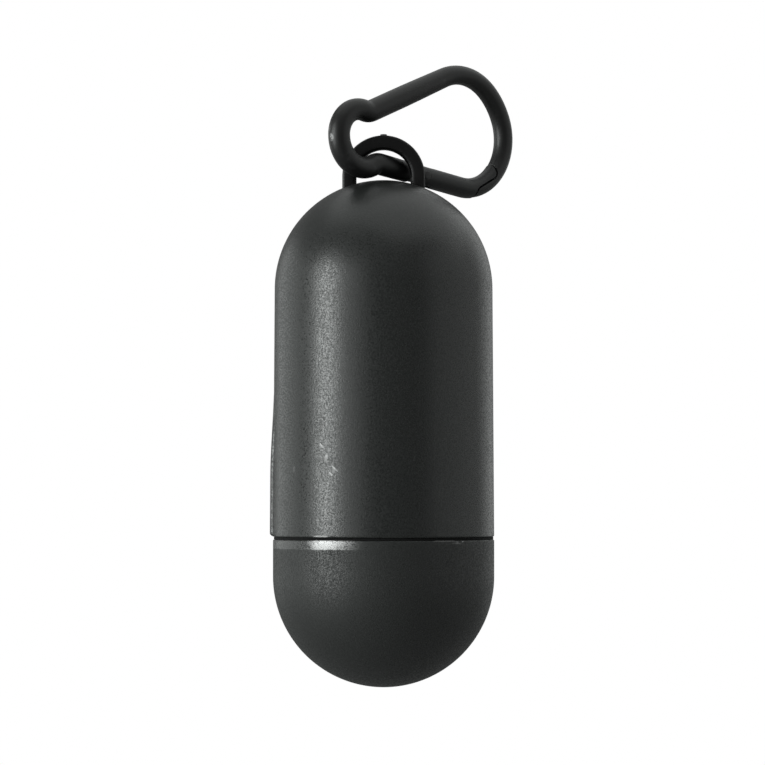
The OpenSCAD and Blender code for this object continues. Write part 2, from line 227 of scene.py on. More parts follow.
def cut(piece: bpy.types.Object, tool: bpy.types.Mesh, how: Cut) -> None:
    """Cut a piece with a closed mesh, which is used up.

    Args:
        piece: The piece to change.
        tool: The closed mesh that cuts it.
        how: What is kept.
    """
    cutter = make_object("cutter", tool)
    modifier = piece.modifiers.new("cut", "BOOLEAN")
    modifier.operation = how.value
    modifier.object = cutter
    modifier.solver = "EXACT"
    settle(piece)
    bpy.data.objects.remove(cutter)
    bpy.data.meshes.remove(tool)


def soften(piece: bpy.types.Object, width: float) -> None:
    """Round a piece's sharp edges.

    Args:
        piece: The piece.
        width: Width of the rounding, in metres.
    """
    least_turn = 38.0
    modifier = piece.modifiers.new("round", "BEVEL")
    modifier.width = width
    modifier.segments = 3
    modifier.limit_method = "ANGLE"
    modifier.angle_limit = math.radians(least_turn)
    modifier.use_clamp_overlap = True
    settle(piece)
    shade_smooth(piece.data)


def stacked(*parts: Any) -> Array:
    """Coordinates side by side along a new last axis, after they take one shape."""
    return np.stack(np.broadcast_arrays(*parts), axis=-1)


def spun(x: Any, y: Any, degrees: float) -> tuple[Any, Any]:
    """Turn a place about the origin: x cos a - y sin a, and x sin a + y cos a."""
    a = math.radians(degrees)
    return x * math.cos(a) - y * math.sin(a), x * math.sin(a) + y * math.cos(a)


def turned(angles: Array, radius: Array, height: Array) -> Array:
    """Points of a turned surface: x = r cos a, y = r sin a, z = height.

    Args:
        angles: Angles about z, of shape (columns,).
        radius: Radii, of shape (rows,) or (rows, columns).
        height: Heights, of shape (rows,) or (rows, columns).

    Returns:
        Array of shape (rows, columns, 3).
    """
    radius = np.atleast_2d(radius.T).T
    height = np.atleast_2d(height.T).T
    return stacked(radius * np.cos(angles), radius * np.sin(angles), height)


def swept(centre: Array, side: Array, up: Array, section: Array) -> Array:
    """Points of a section carried along a path: centre + x * side + y * up.

    Args:
        centre: Path, of shape (rows, 3).
        side: First direction across the path, of shape (rows, 3).
        up: Second direction across the path, of shape (rows, 3).
        section: Section, of shape (columns, 2) or (rows, columns, 2).

    Returns:
        Array of shape (rows, columns, 3).
    """
    section = np.broadcast_to(section, (len(centre),) + section.shape[-2:])
    return (
        centre[:, None, :]
        + section[..., :1] * side[:, None, :]
        + section[..., 1:] * up[:, None, :]
    )


def ring(columns: int) -> Array:
    """Unit circle as a section, of shape (columns, 2)."""
    angle = np.linspace(0, TAU, columns, endpoint=False)
    return stacked(np.cos(angle), np.sin(angle))


def smoothstep(low: float, high: float, value: Array) -> Array:
    """Rise smoothly from 0 at low to 1 at high: 3t^2 - 2t^3 of the clipped way along."""
    t = np.clip((value - low) / (high - low), 0, 1)
    return t * t * (3 - 2 * t)


def corner(centre: tuple[float, float], radius: float, start: float, end: float, count: int) -> Array:
    """Arc of a profile, from one angle to another in degrees, of shape (count, 2)."""
    angle = np.radians(np.linspace(start, end, count))
    return stacked(centre[0] + radius * np.cos(angle), centre[1] + radius * np.sin(angle))


def upright(radius: float, height: Array) -> Array:
    """Rows of a profile that stay at one radius, of shape (rows, 2)."""
    return np.column_stack([np.full(len(height), radius), height])


def prism(outline: Array, low: float, high: float) -> Array:
    """Two rows of points: an outline at two heights, of shape (2, n, 3)."""
    rows = [np.column_stack([outline, np.full(len(outline), h)]) for h in (low, high)]
    return np.stack(rows)


# Shader maths


class Value:
    """A socket that can be used in Python expressions, each of which adds a Math node."""

    def __init__(self, tree: "Tree", socket: bpy.types.NodeSocket) -> None:
        """Keep the tree and the socket."""
        self.tree = tree
        self.socket = socket

    def _math(self, operation: str, *inputs: Any, clamp: bool = False) -> "Value":
        """Add one Math node and return its result."""
        return self.tree.add(
            "ShaderNodeMath", {"operation": operation, "use_clamp": clamp}, dict(enumerate(inputs))
        )

    def __add__(self, other: Any) -> "Value":
        """Sum."""
        return self._math("ADD", self, other)

    def __sub__(self, other: Any) -> "Value":
        """Difference."""
        return self._math("SUBTRACT", self, other)

    def __rsub__(self, other: Any) -> "Value":
        """Difference with this value taken away."""
        return self._math("SUBTRACT", other, self)

    def __mul__(self, other: Any) -> "Value":
        """Product."""
        return self._math("MULTIPLY", self, other)

    def __abs__(self) -> "Value":
        """Size without the sign."""
        return self._math("ABSOLUTE", self)

    __radd__ = __add__
    __rmul__ = __mul__

    def power(self, exponent: float) -> "Value":
        """This value to a power."""
        return self._math("POWER", self, exponent)

    def clamp(self) -> "Value":
        """This value kept between 0 and 1."""
        return self._math("ADD", self, 0.0, clamp=True)

    def smooth(self, low: float, high: float) -> "Value":
        """Rise smoothly from 0 at low to 1 at high."""
        return self.tree.add(
            "ShaderNodeMapRange",
            {"interpolation_type": "SMOOTHSTEP"},
            {"Value": self, "From Min": low, "From Max": high, "To Min": 0.0, "To Max": 1.0},
        )


class Tree:
    """One material's or world's node tree, with a method for each common node."""

    def __init__(self, tree: bpy.types.NodeTree) -> None:
        """Empty the tree and keep it."""
        self.tree = tree
        tree.nodes.clear()

    def add(
        self,
        kind: str,
        settings: dict[str, Any] | None = None,
        inputs: Sockets | None = None,
        output: int | str = 0,
    ) -> Value:
        """Add one node.

        Args:
            kind: The node's type.
            settings: Its settings, which are set first.
            inputs: Values, or links as Value, by socket name or number.
            output: The socket that is returned.

        Returns:
            The chosen output.
        """
        node = self.tree.nodes.new(kind)
        for key, setting in (settings or {}).items():
            setattr(node, key, setting)
        for key, value in (inputs or {}).items():
            if isinstance(value, Value):
                self.tree.links.new(value.socket, node.inputs[key])
            else:
                node.inputs[key].default_value = value
        if not node.outputs:
            return Value(self, None)
        return Value(self, node.outputs[output])

    def place(self) -> tuple[Value, Value, Value, Value]:
        """Object coordinates, as one vector and as x, y and z in metres.

        Returns:
            The vector, then x, y and z.
        """
        vector = self.add("ShaderNodeTexCoord", output="Object")
        axes = self.tree.nodes.new("ShaderNodeSeparateXYZ")
        self.tree.links.new(vector.socket, axes.inputs[0])
        x, y, z = (Value(self, axes.outputs[k]) for k in range(3))
        return vector, x, y, z

    def noise(self, vector: Value, size: float, detail: float = 2.0, rough: float = 0.5) -> Value:
        """Noise whose features are about a size in metres, from 0 to 1."""
        return self.add(
            "ShaderNodeTexNoise",
            {"noise_dimensions": "3D"},
            {"Vector": vector, "Scale": 1 / size, "Detail": detail, "Roughness": rough},
            "Fac",
        )

    def stretch(self, vector: Value, scale: tuple[float, float, float]) -> Value:
        """A vector scaled along each axis."""
        return self.vector("MULTIPLY", 0, vector, scale)

    def vector(self, operation: str, output: int | str, *inputs: Any) -> Value:
        """Add one Vector Math node and return the chosen output."""
        return self.add(
            "ShaderNodeVectorMath", {"operation": operation}, dict(enumerate(inputs)), output
        )

    def mix(self, amount: Any, first: Any, second: Any) -> Value:
        """Mix two colours."""
        return self.add(
            "ShaderNodeMix", {"data_type": "RGBA"}, {"Factor": amount, "A": first, "B": second}, 2
        )

    def bump(self, height: Value, depth: float) -> Value:
        """Normal from a height between 0 and 1 and a depth in metres."""
        inputs = {"Height": height, "Distance": depth, "Strength": 1.0}
        return self.add("ShaderNodeBump", None, inputs)


def grey(level: float) -> Colour:
    """An opaque grey."""
    return (level, level, level, 1)


@dataclass(frozen=True)
class Finish:
    """A material: its name, its colour and how it shines."""

    name: str
    colour: Colour
    roughness: float
    metallic: float = 0.0

    def make(self) -> bpy.types.Material:
        """Build the material's nodes.

        Returns:
            The material.
        """
        material = bpy.data.materials.new(self.name)
        material.use_nodes = True
        material.diffuse_color = self.colour
        tree = Tree(material.node_tree)
        inputs: Sockets = {
            "Base Color": self.colour,
            "Roughness": self.roughness,
            "Metallic": self.metallic,
        }
        inputs.update(self.surface(tree))
        shader = tree.add("ShaderNodeBsdfPrincipled", None, inputs)
        tree.add("ShaderNodeOutputMaterial", None, {"Surface": shader})
        return material

    def surface(self, tree: Tree) -> Sockets:
        """Values and links that this finish adds to the shader.

        Args:
            tree: The material's nodes.

        Returns:
            What goes into the shader, by socket name.
        """
        return {}


@dataclass(frozen=True)
class LineMark:
    """A pale hairline on the front, used for scratches and for painted edge highlights: its ends as (x,
    z) in metres, its width and its strength.
    """

    start: tuple[float, float]
    end: tuple[float, float]
    width: float
    strength: float

    def mask(self, x: Value, z: Value) -> Value:
        """1 along the mark, fading to 0 beside it and at its ends.

        Args:
            x: Place along x.
            z: Height.

        Returns:
            The mark's strength at each place.
        """
        length = math.dist(self.start, self.end)
        ux = (self.end[0] - self.start[0]) / length
        uz = (self.end[1] - self.start[1]) / length
        along = (x - self.start[0]) * ux + (z - self.start[1]) * uz
        across = abs((x - self.start[0]) * uz - (z - self.start[1]) * ux)
        middle = abs(along - length / 2)
        line = 1 - across.smooth(self.width * 0.35, self.width)
        ends = 1 - middle.smooth(length * 0.3, length / 2)
        return line * ends * self.strength


@dataclass(frozen=True)
class Spot:
    """A spot of wear: its place in metres, its three half widths and its strength."""

    place: tuple[float, float, float]
    size: tuple[float, float, float]
    strength: float

    def mask(self, tree: Tree, vector: Value) -> Value:
        """1 in the spot's middle, fading to 0 at its edge.

        Args:
            tree: The material's nodes.
            vector: Object coordinates.

        Returns:
            The spot's strength at each place.
        """
        scale = tuple(1 / s for s in self.size)
        shift = tuple(-p / s for p, s in zip(self.place, self.size))
        inside = tree.vector("MULTIPLY_ADD", 0, vector, scale, shift)
        away = tree.vector("LENGTH", "Value", inside)
        return (1 - away.smooth(0.2, 1.0)) * self.strength


@dataclass(frozen=True)
class CapsulePlastic(Finish):
    """Black moulded plastic with a fine eroded grain, handling marks, dust, and painted highlights along
    edges and on a band.

    Attributes:
        grain: Size of the grain, in metres.
        grain_depth: Its depth, in metres.
        sparkle: How much the roughness changes from pit to pit of the grain.
        crown: Heights between which the grain fades to a smoother crown.
        marks: Scratches on the front.
        band: Lower and upper height of a polished band that shines more than the rest, with a painted
            highlight on its lit left.
        highlight_side: Places along x where the band's painted highlight starts and ends to rise and
            fall.
        band_roughness: The band's roughness.
        front: Places along y between which marks and band fade out towards the back.
    """

    grain: float = 0.00027
    grain_depth: float = 0.00004
    sparkle: float = 0.36
    crown: tuple[float, float] = (-0.034, -0.018)
    marks: tuple[LineMark, ...] = ()
    band: tuple[float, float] | None = None
    highlight_side: tuple[float, float, float, float] = (-0.002, -0.001, 0.001, 0.002)
    band_roughness: float = 0.36
    front: tuple[float, float] = (-0.019, -0.0125)

    def surface(self, tree: Tree) -> Sockets:
        """Grain as bump and as a change of shine, dust, scratches, and painted highlights on edges and
        on the band.

        Args:
            tree: The material's nodes.

        Returns:
            What goes into the shader, by socket name.
        """
        vector, x, y, z = tree.place()
        fine = tree.noise(vector, self.grain, 2.0, 0.6)
        coarse = tree.noise(vector, 0.0011, 2.0)
        cloud = tree.noise(vector, 0.012, 3.0)
        normal = tree.bump(fine * 0.8 + coarse * 0.2, self.grain_depth)
        pits = fine.smooth(0.3, 0.7)
        grainy = 1 - 0.6 * z.smooth(*self.crown)
        dust = tree.noise(vector, 0.00021, 0.0).smooth(0.66, 0.78)
        colour = tree.mix(dust * 0.12, self.colour, grey(0.09))
        rough = self.roughness + (cloud - 0.5) * 0.1 + (pits - 0.5) * grainy * self.sparkle
        front = 1 - y.smooth(*self.front)
        if self.band:
            # The band: lower roughness, and a painted highlight mixed into the colour on its lit left.
            polished, painted_highlight = self.polish_and_painted_highlight(x, z + (coarse - 0.5) * 0.0004, front, fine, pits)
            rough = rough + polished * (self.band_roughness - self.roughness)
            colour = tree.mix(painted_highlight, colour, grey(0.85))
        if self.marks:
            # Pale lines mixed into the colour: scratches, and painted highlights along the rim edges.
            wear_and_edge_highlights = self.line_marks(x, z) * front * (0.55 + fine * 0.9)
            colour = tree.mix(wear_and_edge_highlights.clamp(), colour, grey(0.5))
        return {"Base Color": colour, "Roughness": rough, "Normal": normal}

    def polish_and_painted_highlight(
        self, x: Value, edge: Value, front: Value, fine: Value, pits: Value
    ) -> tuple[Value, Value]:
        """The band: polished to the left, with a painted highlight mixed into its colour where the light
        falls on its left.

        The painted highlight rises and falls along x, flakes with the grain, and is weaker low down.

        Args:
            x: Place along x.
            edge: Height, made a little uneven.
            front: 1 on the front, 0 on the back.
            fine: The grain.
            pits: The grain with more contrast.

        Returns:
            How far it is polished, and how strong its painted highlight is.
        """
        low, high = self.band
        band = edge.smooth(low - 0.0001, low + 0.0001) * (1 - edge.smooth(high, high + 0.0002))
        rise_start, rise_end, fall_start, fall_end = self.highlight_side
        left = front * (1 - x.smooth(fall_start, fall_end))
        near = x.smooth(rise_start, rise_end) * left
        flaked = (fine + near * 0.16).smooth(0.38, 0.72)
        upper = 0.6 + 0.4 * edge.smooth(low, high)
        # Painted highlight: pale colour where the key light falls on the band's left.
        painted_highlight = near.power(1.3) * flaked * upper + left * pits * 0.07
        return band * left, band * painted_highlight

    def line_marks(self, x: Value, z: Value) -> Value:
        """Sum of all the marks.

        Args:
            x: Place along x.
            z: Height.

        Returns:
            The marks' strength at each place.
        """
        wear_and_edge_highlights: Any = 0.0
        for mark in self.marks:
            wear_and_edge_highlights = mark.mask(x, z) + wear_and_edge_highlights
        return wear_and_edge_highlights


@dataclass(frozen=True)
class EyePlastic(Finish):
    """Smooth black plastic of the hanging eye."""

    def surface(self, tree: Tree) -> Sockets:
        """A slight unevenness of shape and shine.

        Args:
            tree: The material's nodes.

        Returns:
            What goes into the shader, by socket name.
        """
        vector, _, _, _ = tree.place()
        uneven = tree.noise(vector, 0.0009, 3.0)
        return {
            "Specular IOR Level": 0.32,
            "Roughness": self.roughness + (uneven - 0.5) * 0.12,
            "Normal": tree.bump(uneven, 0.00001),
        }


@dataclass(frozen=True)
class BlackWire(Finish):
    """Black coated wire of the clip, with a fine tooth, faint rubbing and spots of wear."""

    spots: tuple[Spot, ...] = ()

    def surface(self, tree: Tree) -> Sockets:
        """Tooth as bump and places of rubbing that are a little lighter.

        Args:
            tree: The material's nodes.

        Returns:
            What goes into the shader, by socket name.
        """
        vector, _, _, _ = tree.place()
        tooth = tree.noise(vector, 0.00016, 2.0)
        rub = tree.noise(vector, 0.0028, 4.0, 0.6).smooth(0.58, 0.78)
        colour = tree.mix(rub * 0.35, self.colour, grey(0.06))
        flakes = tree.noise(vector, 0.0005, 3.0, 0.7).smooth(0.36, 0.62)
        for spot in self.spots:
            colour = tree.mix(spot.mask(tree, vector) * flakes, colour, grey(0.55))
        return {
            "Base Color": colour,
            "Specular IOR Level": 0.42,
            "Roughness": self.roughness + (tooth - 0.5) * 0.08 - rub * 0.05,
            "Normal": tree.bump(tooth, 0.000004),
        }


@dataclass(frozen=True)
class Steel(Finish):
    """Plain drawn steel of the plunger and spring."""

    def surface(self, tree: Tree) -> Sockets:
        """Fine drawing marks.

        Args:
            tree: The material's nodes.

        Returns:
            What goes into the shader, by socket name.
        """
        vector, _, _, _ = tree.place()
        marks = tree.noise(tree.stretch(vector, (1.0, 1.0, 6.0)), 0.0003, 3.0)
        return {
            "Base Color": tree.mix(marks, self.colour, grey(0.38)),
            "Roughness": self.roughness + (marks - 0.5) * 0.2,
            "Normal": tree.bump(marks, 0.000004),
        }


@dataclass(frozen=True)
class Rubber(Finish):
    """Soft black rubber of the seal ring."""

    def surface(self, tree: Tree) -> Sockets:
        """A dusty bloom.

        Args:
            tree: The material's nodes.

        Returns:
            What goes into the shader, by socket name.
        """
        vector, _, _, _ = tree.place()
        bloom = tree.noise(vector, 0.0006, 4.0)
        return {
            "Base Color": tree.mix(bloom * 0.3, self.colour, grey(0.01)),
            "Specular IOR Level": 0.2,
            "Normal": tree.bump(bloom, 0.00001),
        }


@dataclass(frozen=True)
class Card(Finish):
    """Uncoated brown card, wound in a spiral."""

    def surface(self, tree: Tree) -> Sockets:
        """Paper fibres and a paler fleck.

        Args:
            tree: The material's nodes.

        Returns:
            What goes into the shader, by socket name.
        """
        vector, _, _, _ = tree.place()
        fibres = tree.noise(tree.stretch(vector, (1.0, 1.0, 0.25)), 0.0003, 4.0, 0.7)
        flecks = tree.noise(vector, 0.0012, 2.0).smooth(0.6, 0.75)
        colour = tree.mix(fibres, self.colour, (0.4, 0.29, 0.17, 1))
        return {
            "Base Color": tree.mix(flecks * 0.4, colour, (0.66, 0.53, 0.37, 1)),
            "Normal": tree.bump(fibres, 0.00004),
        }


@dataclass(frozen=True)
class Film(Finish):
    """Thin black film, wound tight, with soft creases."""

    def surface(self, tree: Tree) -> Sockets:
        """Creases that run along the roll, and a slight sheen change.

        Args:
            tree: The material's nodes.

        Returns:
            What goes into the shader, by socket name.
        """
        vector, _, _, _ = tree.place()
        creases = tree.noise(tree.stretch(vector, (1.0, 1.0, 0.18)), 0.0011, 4.0, 0.6)
        return {
            "Roughness": self.roughness + (creases - 0.5) * 0.25,
            "Normal": tree.bump(creases, 0.00012),
        }


# Pieces


class Body(Enum):
    """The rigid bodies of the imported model."""

    CLIP = "clip"
    GATE = "gate"
    PLUNGER = "plunger"
    SHELL = "shell"
    SEAL = "seal"
    CAP = "cap"
    ROLL = "roll"


class Slot(Enum):
    """The record's material slots."""

    CAPSULE = "capsule_plastic"
    EYE = "eye_plastic"
    WIRE = "black_wire"
    STEEL = "steel"
    SEAL = "seal_rubber"
    CARD = "cardboard"
    FILM = "bag_film"


Finishes = dict[Slot, bpy.types.Material]


def dress(piece: bpy.types.Object, finish: bpy.types.Material, node: str | None) -> None:
    """Give a piece its finish, and hide the node that it replaces, if any.

    Args:
        piece: The piece.
        finish: Its material.
        node: The node that it replaces, or None.
    """
    piece.data.materials.clear()
    piece.data.materials.append(finish)
    if node:
        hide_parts(node)


def fit(
    piece: bpy.types.Object, body: Body, finish: bpy.types.Material, node: str | None
) -> None:
    """Dress a piece that moves with one body.

    Args:
        piece: The piece.
        body: The body.
        finish: Its material.
        node: The node that it replaces, or None.
    """
    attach(piece, body.value)
    dress(piece, finish, node)
    LOG.info("%s rides on %s", piece.name, body.value)


def fit_between(
    piece: bpy.types.Object,
    ends: Array,
    finish: bpy.types.Material,
    node: str,
) -> None:
    """Dress a springy piece and bake its place into its mesh.

    Args:
        piece: The piece, which has no parent.
        ends: Two points in metres in the row's frame. Not used.
        finish: Its material.
        node: The node that it replaces.
    """
    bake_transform(piece)
    dress(piece, finish, node)


@dataclass(frozen=True)
class Track:
    """Samples along a flat path: places, headings in degrees and distance travelled."""

    places: Array
    headings: Array
    travelled: Array

    @staticmethod
    def walk(
        start: tuple[float, float, float], steps: Sequence[tuple[float, float, float]], spacing: float
    ) -> "Track":
        """Walk straight runs and round bends.

        A run is (length, 0, 0). A bend is (0, turn, radius) and moves along a circle whose
        centre lies one radius to the side of the heading: left for a positive turn.

        Args:
            start: First place and heading.
            steps: The runs and bends.
            spacing: Greatest distance between samples.

        Returns:
            The samples, with the first and last ends included.
        """
        x, y, heading = start
        places, headings, distance = [[(x, y)]], [[heading]], [[0.0]]
        gone = 0.0
        for length, turn, radius in steps:
            size = length if radius == 0 else abs(math.radians(turn)) * radius
            part = np.linspace(0, 1, max(2, int(math.ceil(size / spacing)) + 1))[1:]
            if radius == 0:
                h = math.radians(heading)
                at = stacked(x + length * part * math.cos(h), y + length * part * math.sin(h))
            else:
                s = math.copysign(radius, turn)
                h0, h1 = math.radians(heading), np.radians(heading + turn * part)
                at = stacked(
                    x - s * math.sin(h0) + s * np.sin(h1), y + s * math.cos(h0) - s * np.cos(h1)
                )
            places.append(at.tolist())
            headings.append((heading + turn * part).tolist())
            distance.append((gone + size * part).tolist())
            x, y = at[-1]
            heading += turn
            gone += size
        return Track(
            np.array(sum(places, [])), np.array(sum(headings, [])), np.array(sum(distance, []))
        )


@dataclass
class SnapClip:
    """Bent wire clip with a sprung gate. Sizes in millimetres and degrees.

    A pair is a bend: how far it turns, and its radius. rim_below_wire is how far the shell's
    rim lies below the wire that the capsule hangs from.
    """

    rim_below_wire: float = 63.77
    clip_turn: float = 42
    clip_ahead: float = 0.2
    gate_fall: float = 8.6
    hinge_wire_d: float = 3.58
    wire_d: float = 3.75
    far_wire_d: float = 3.35
    wire_step: float = 0.02
    pivot_out: float = 8.7
    run_in: float = 1.1
    pinch_low: tuple[float, float] = (35.9, 2.4)
    bulb_low: tuple[float, float] = (117.3, 5.35)
    bulb: tuple[float, float] = (105.4, 4.6)
    pinch_high: tuple[float, float] = (37.9, 2.4)
    top: tuple[float, float] = (64.6, 10.0)
    far_side: tuple[float, float] = (26.8, 12.6)
    nose_r: float = 9.1
    gate_d: float = 3.55
    lip_r: float = 12.2
    tip_r: float = 16.75
    ledge_slope: float = 35.7
    ledge_off: float = 6.89
    ledge_round: float = 1.2
    nose_gap: float = 0.2
    nose_ease: float = 0.18
    rivet_d: float = 1.5
    rivet_proud: float = 0.05
    rivet_fit: float = 0.05
    tongue_t: float = 1.2
    tongue_h: float = 2.9
    tongue_end: float = 1.5
    tongue_cut: float = 0.1
    hinge_gap: float = 0.1
    bore_d: float = 2.0
    bore_h: float = 8.2
    plunger_fit: float = 0.1
    plunger_head: float = 1.7
    stem_d: float = 0.8
    stem_h: float = 2.0
    spring_wire_d: float = 0.3
    spring_turns: int = 7
    wire_columns: int = 48
    wire_spacing: float = 0.35
    finishes: Finishes = field(default_factory=dict)

    def __post_init__(self) -> None:
        """Work out the values that follow from the sizes."""
        fall = math.radians(-self.gate_fall)
        self.pivot = self.pivot_out * np.array([math.cos(fall), math.sin(fall)])
        self.start = (self.pivot[0], self.pivot[1], 180 - self.gate_fall)
        bulbs = self.bulb_low[0] + self.bulb[0]
        small_end_turn = bulbs - self.pinch_low[0] - self.pinch_high[0]
        self.nose_turn = 360 - small_end_turn - self.top[0] - self.far_side[0]
        self.ear_r = self.gate_d / 2 + 0.05
        self.shoulder = self.ear_r + 2 * self.hinge_gap
        self.tongue_reach = math.hypot(self.tongue_end, self.tongue_h / 2) - self.tongue_cut
        self.hinge_run = self.pivot_out + self.run_in
        open_end = Track.walk(self.start, self.steps(0.0), 1.0).places[-1]
        spine_heading = math.radians(180 - self.gate_fall - small_end_turn)
        gate_heading = math.radians(180 - self.gate_fall)
        spine = np.array([math.cos(spine_heading), math.sin(spine_heading)])
        gate = np.array([math.cos(gate_heading), math.sin(gate_heading)])
        to_close = self.pivot - open_end
        self.spine_l, self.gate_l = np.linalg.solve(np.column_stack([spine, gate]), to_close)
        before = self.steps(self.spine_l)[:7]
        half = (0.0, -self.far_side[0] / 2, self.far_side[1])
        middle = Track.walk(self.start, before + [half], 1.0)
        h = math.radians(middle.headings[-1])
        inward = np.array([math.sin(h), -math.cos(h)])
        self.basket = middle.places[-1] + (self.far_wire_d - self.wire_step) / 2 * inward

    def steps(self, spine: float) -> list[tuple[float, float, float]]:
        """The loop from the pivot round to the gate's line.

        Args:
            spine: Length of the straight spine.

        Returns:
            The runs and bends, as in Track.walk.
        """
        return [
            (self.hinge_run, 0.0, 0.0),
            (0.0, self.pinch_low[0], self.pinch_low[1]),
            (0.0, -self.bulb_low[0], self.bulb_low[1]),
            (0.0, -self.bulb[0], self.bulb[1]),
            (0.0, self.pinch_high[0], self.pinch_high[1]),
            (spine, 0.0, 0.0),
            (0.0, -self.top[0], self.top[1]),
            (0.0, -self.far_side[0], self.far_side[1]),
            (0.0, -self.nose_turn, self.nose_r),
        ]

    def stand_up(self, u: Any, v: Any, w: Any) -> Array:
        """Stand points of the clip's flat plane up: w goes to the front, and the plane turns."""
        x, y = spun(u, -(w + self.clip_ahead), self.clip_turn)
        return stacked(x, y, v)

    @property
    def origin(self) -> Array:
        """The basket's place before the row's origin is moved to it, in millimetres."""
        return self.stand_up(*self.basket, 0.0)

    def to_row(self, flat: Array) -> Array:
        """Points of the clip's flat plane, in metres in the row's frame."""
        row = self.stand_up(flat[..., 0], flat[..., 1], flat[..., 2])
        return (row - self.origin) * MM

    def gate_to_row(self, flat: Array) -> Array:
        """Points of the gate's own frame, with the pivot at its origin, in the row's frame."""
        x, y = spun(flat[..., 0], flat[..., 1], -self.gate_fall)
        return self.to_row(stacked(self.pivot[0] + x, self.pivot[1] + y, flat[..., 2]))

    @staticmethod
    def tube(track: Track, radius: Array, columns: int) -> Array:
        """Round wire along a flat track: place + r cos a to its left + r sin a off the plane.

        Args:
            track: The wire's middle.
            radius: Its radius at each place.
            columns: Points round it.

        Returns:
            Array of shape (rows, columns, 3).
        """
        h = np.radians(track.headings)
        zero = np.zeros_like(h)
        centre = np.column_stack([track.places, zero])
        left = stacked(-np.sin(h), np.cos(h), zero)
        off = np.broadcast_to(np.array([0.0, 0.0, 1.0]), left.shape)
        section = ring(columns)[None] * radius[:, None, None]
        return swept(centre, left, off, section)

    def gate_outline(self, gap: float) -> Array:
        """Outline, in the gate's frame, of all that lies on the gate's side of the S joint.

        Two arcs about the pivot, joined by a sloping ledge with rounded ends.

        Args:
            gap: Distance by which the outline is grown.

        Returns:
            Outline of shape (n, 2).
        """
        slope = math.radians(self.ledge_slope)
        off = np.array([-math.sin(slope), math.cos(slope)])
        along = np.array([math.cos(slope), math.sin(slope)])
        r, d = self.ledge_round, self.ledge_off
        tip = (r - d) * off + math.sqrt((self.tip_r - r) ** 2 - (r - d) ** 2) * along
        lip = -(r + d) * off + math.sqrt((self.lip_r + r) ** 2 - (r + d) ** 2) * along
        tip_a = math.degrees(math.atan2(tip[1], tip[0]))
        lip_a = math.degrees(math.atan2(lip[1], lip[0]))
        near = self.lip_r + gap
        far = self.tip_r + gap
        return np.concatenate(
            [
                [[-self.gate_d, self.gate_d], [-self.gate_d, -self.gate_d]],
                corner((0, 0), near, -20, lip_a - 2, 10),
                corner(tuple(lip), r - gap, lip_a + 180, self.ledge_slope + 90, 10),
                corner(tuple(tip), r + gap, self.ledge_slope - 90, tip_a, 12),
                corner((0, 0), far, tip_a + 2, 35, 10),
            ]
        )

    def outline_tool(self, name: str, outline: Array, half: float) -> bpy.types.Mesh:
        """Prism over an outline in the gate's frame, as a cutting tool."""
        rows = self.gate_to_row(prism(outline, -half, half))
        return make_mesh(name, [Patch(rows, lids=(True, True))])

    def rod_tool(self, name: str, start: float, end: float, diameter: float) -> bpy.types.Mesh:
        """Round bar along the gate, as a cutting tool."""
        return make_mesh(name, [self.rod(start, end, [(0.0, diameter)], 32)])

    def rod(self, start: float, end: float, steps: Sequence[tuple[float, float]], columns: int) -> Patch:
        """Round bar along the gate with steps in diameter.

        Args:
            start: Where the bar starts, from the pivot.
            end: Where it ends.
            steps: Distance from the start and diameter of each step.
            columns: Points round the bar.

        Returns:
            The closed surface.
        """
        rows: list[tuple[float, float]] = []
        for k, (at, diameter) in enumerate(steps):
            until = steps[k + 1][0] if k + 1 < len(steps) else end - start
            rows += [(start + at, diameter / 2), (start + until, diameter / 2)]
        x, radius = np.array(rows).T[..., None]
        circle = ring(columns)
        points = stacked(x, radius * circle[:, 0], radius * circle[:, 1])
        return Patch(self.gate_to_row(points), lids=(True, True))

    def wire(self) -> bpy.types.Object:
        """The bent frame: hinge end, small end, spine, large end and nose.

        Returns:
            The new piece.
        """
        shoulder = self.start[0] + self.shoulder * math.cos(math.radians(self.start[2]))
        shoulder_y = self.start[1] + self.shoulder * math.sin(math.radians(self.start[2]))
        steps = self.steps(self.spine_l)
        steps[0] = (self.hinge_run - self.shoulder, 0.0, 0.0)
        track = Track.walk((shoulder, shoulder_y, self.start[2]), steps, self.wire_spacing)
        near = self.hinge_run - self.shoulder
        bends = (self.pinch_low, self.bulb_low, self.bulb, self.pinch_high)
        foot = near + sum(math.radians(turn) * radius for turn, radius in bends)
        head = foot + self.spine_l
        bend = math.radians(self.top[0]) * self.top[1]
        full, thin, hinge = self.wire_d, self.far_wire_d, self.hinge_wire_d
        diameter = (
            hinge
            + (full - hinge) * smoothstep(0, near, track.travelled)
            - (full - thin) * smoothstep(foot + 6, head + bend * 0.5, track.travelled)
        )
        radius = diameter / 2 - self.wire_step / 4
        points = self.to_row(self.tube(track, radius, self.wire_columns))
        piece = solid("clip_wire", points, lids=(True, True))
        beyond = self.outline_tool("nose_cut", self.gate_outline(self.nose_gap), self.wire_d)
        cut(piece, beyond, Cut.TAKE_AWAY)
        soften(piece, 0.13 * MM)
        return piece

    def tongue(self) -> bpy.types.Object:
        """Flat tongue at the frame's hinge end, with the rivet's hole through it.

        Returns:
            The new piece.
        """
        reach, half = self.tongue_reach, self.tongue_h / 2
        lean = math.degrees(math.asin(half / reach))
        front = math.degrees(math.acos(self.tongue_end / reach))
        back = -self.shoulder - 0.9
        outline = np.concatenate(
            [
                [[back, -half]],
                corner((0, 0), reach, -lean, -front, 5),
                corner((0, 0), reach, front, lean, 5),
                [[back, half]],
            ]
        )
        half_t = self.tongue_t / 2
        rows = self.gate_to_row(prism(outline, -half_t, half_t))
        piece = solid("clip_tongue", rows, lids=(True, True))
        hole = ring(32) * (self.rivet_d / 2 + self.rivet_fit)
        cut(piece, self.outline_tool("rivet_hole", hole, self.tongue_t), Cut.TAKE_AWAY)
        soften(piece, 0.06 * MM)
        return piece

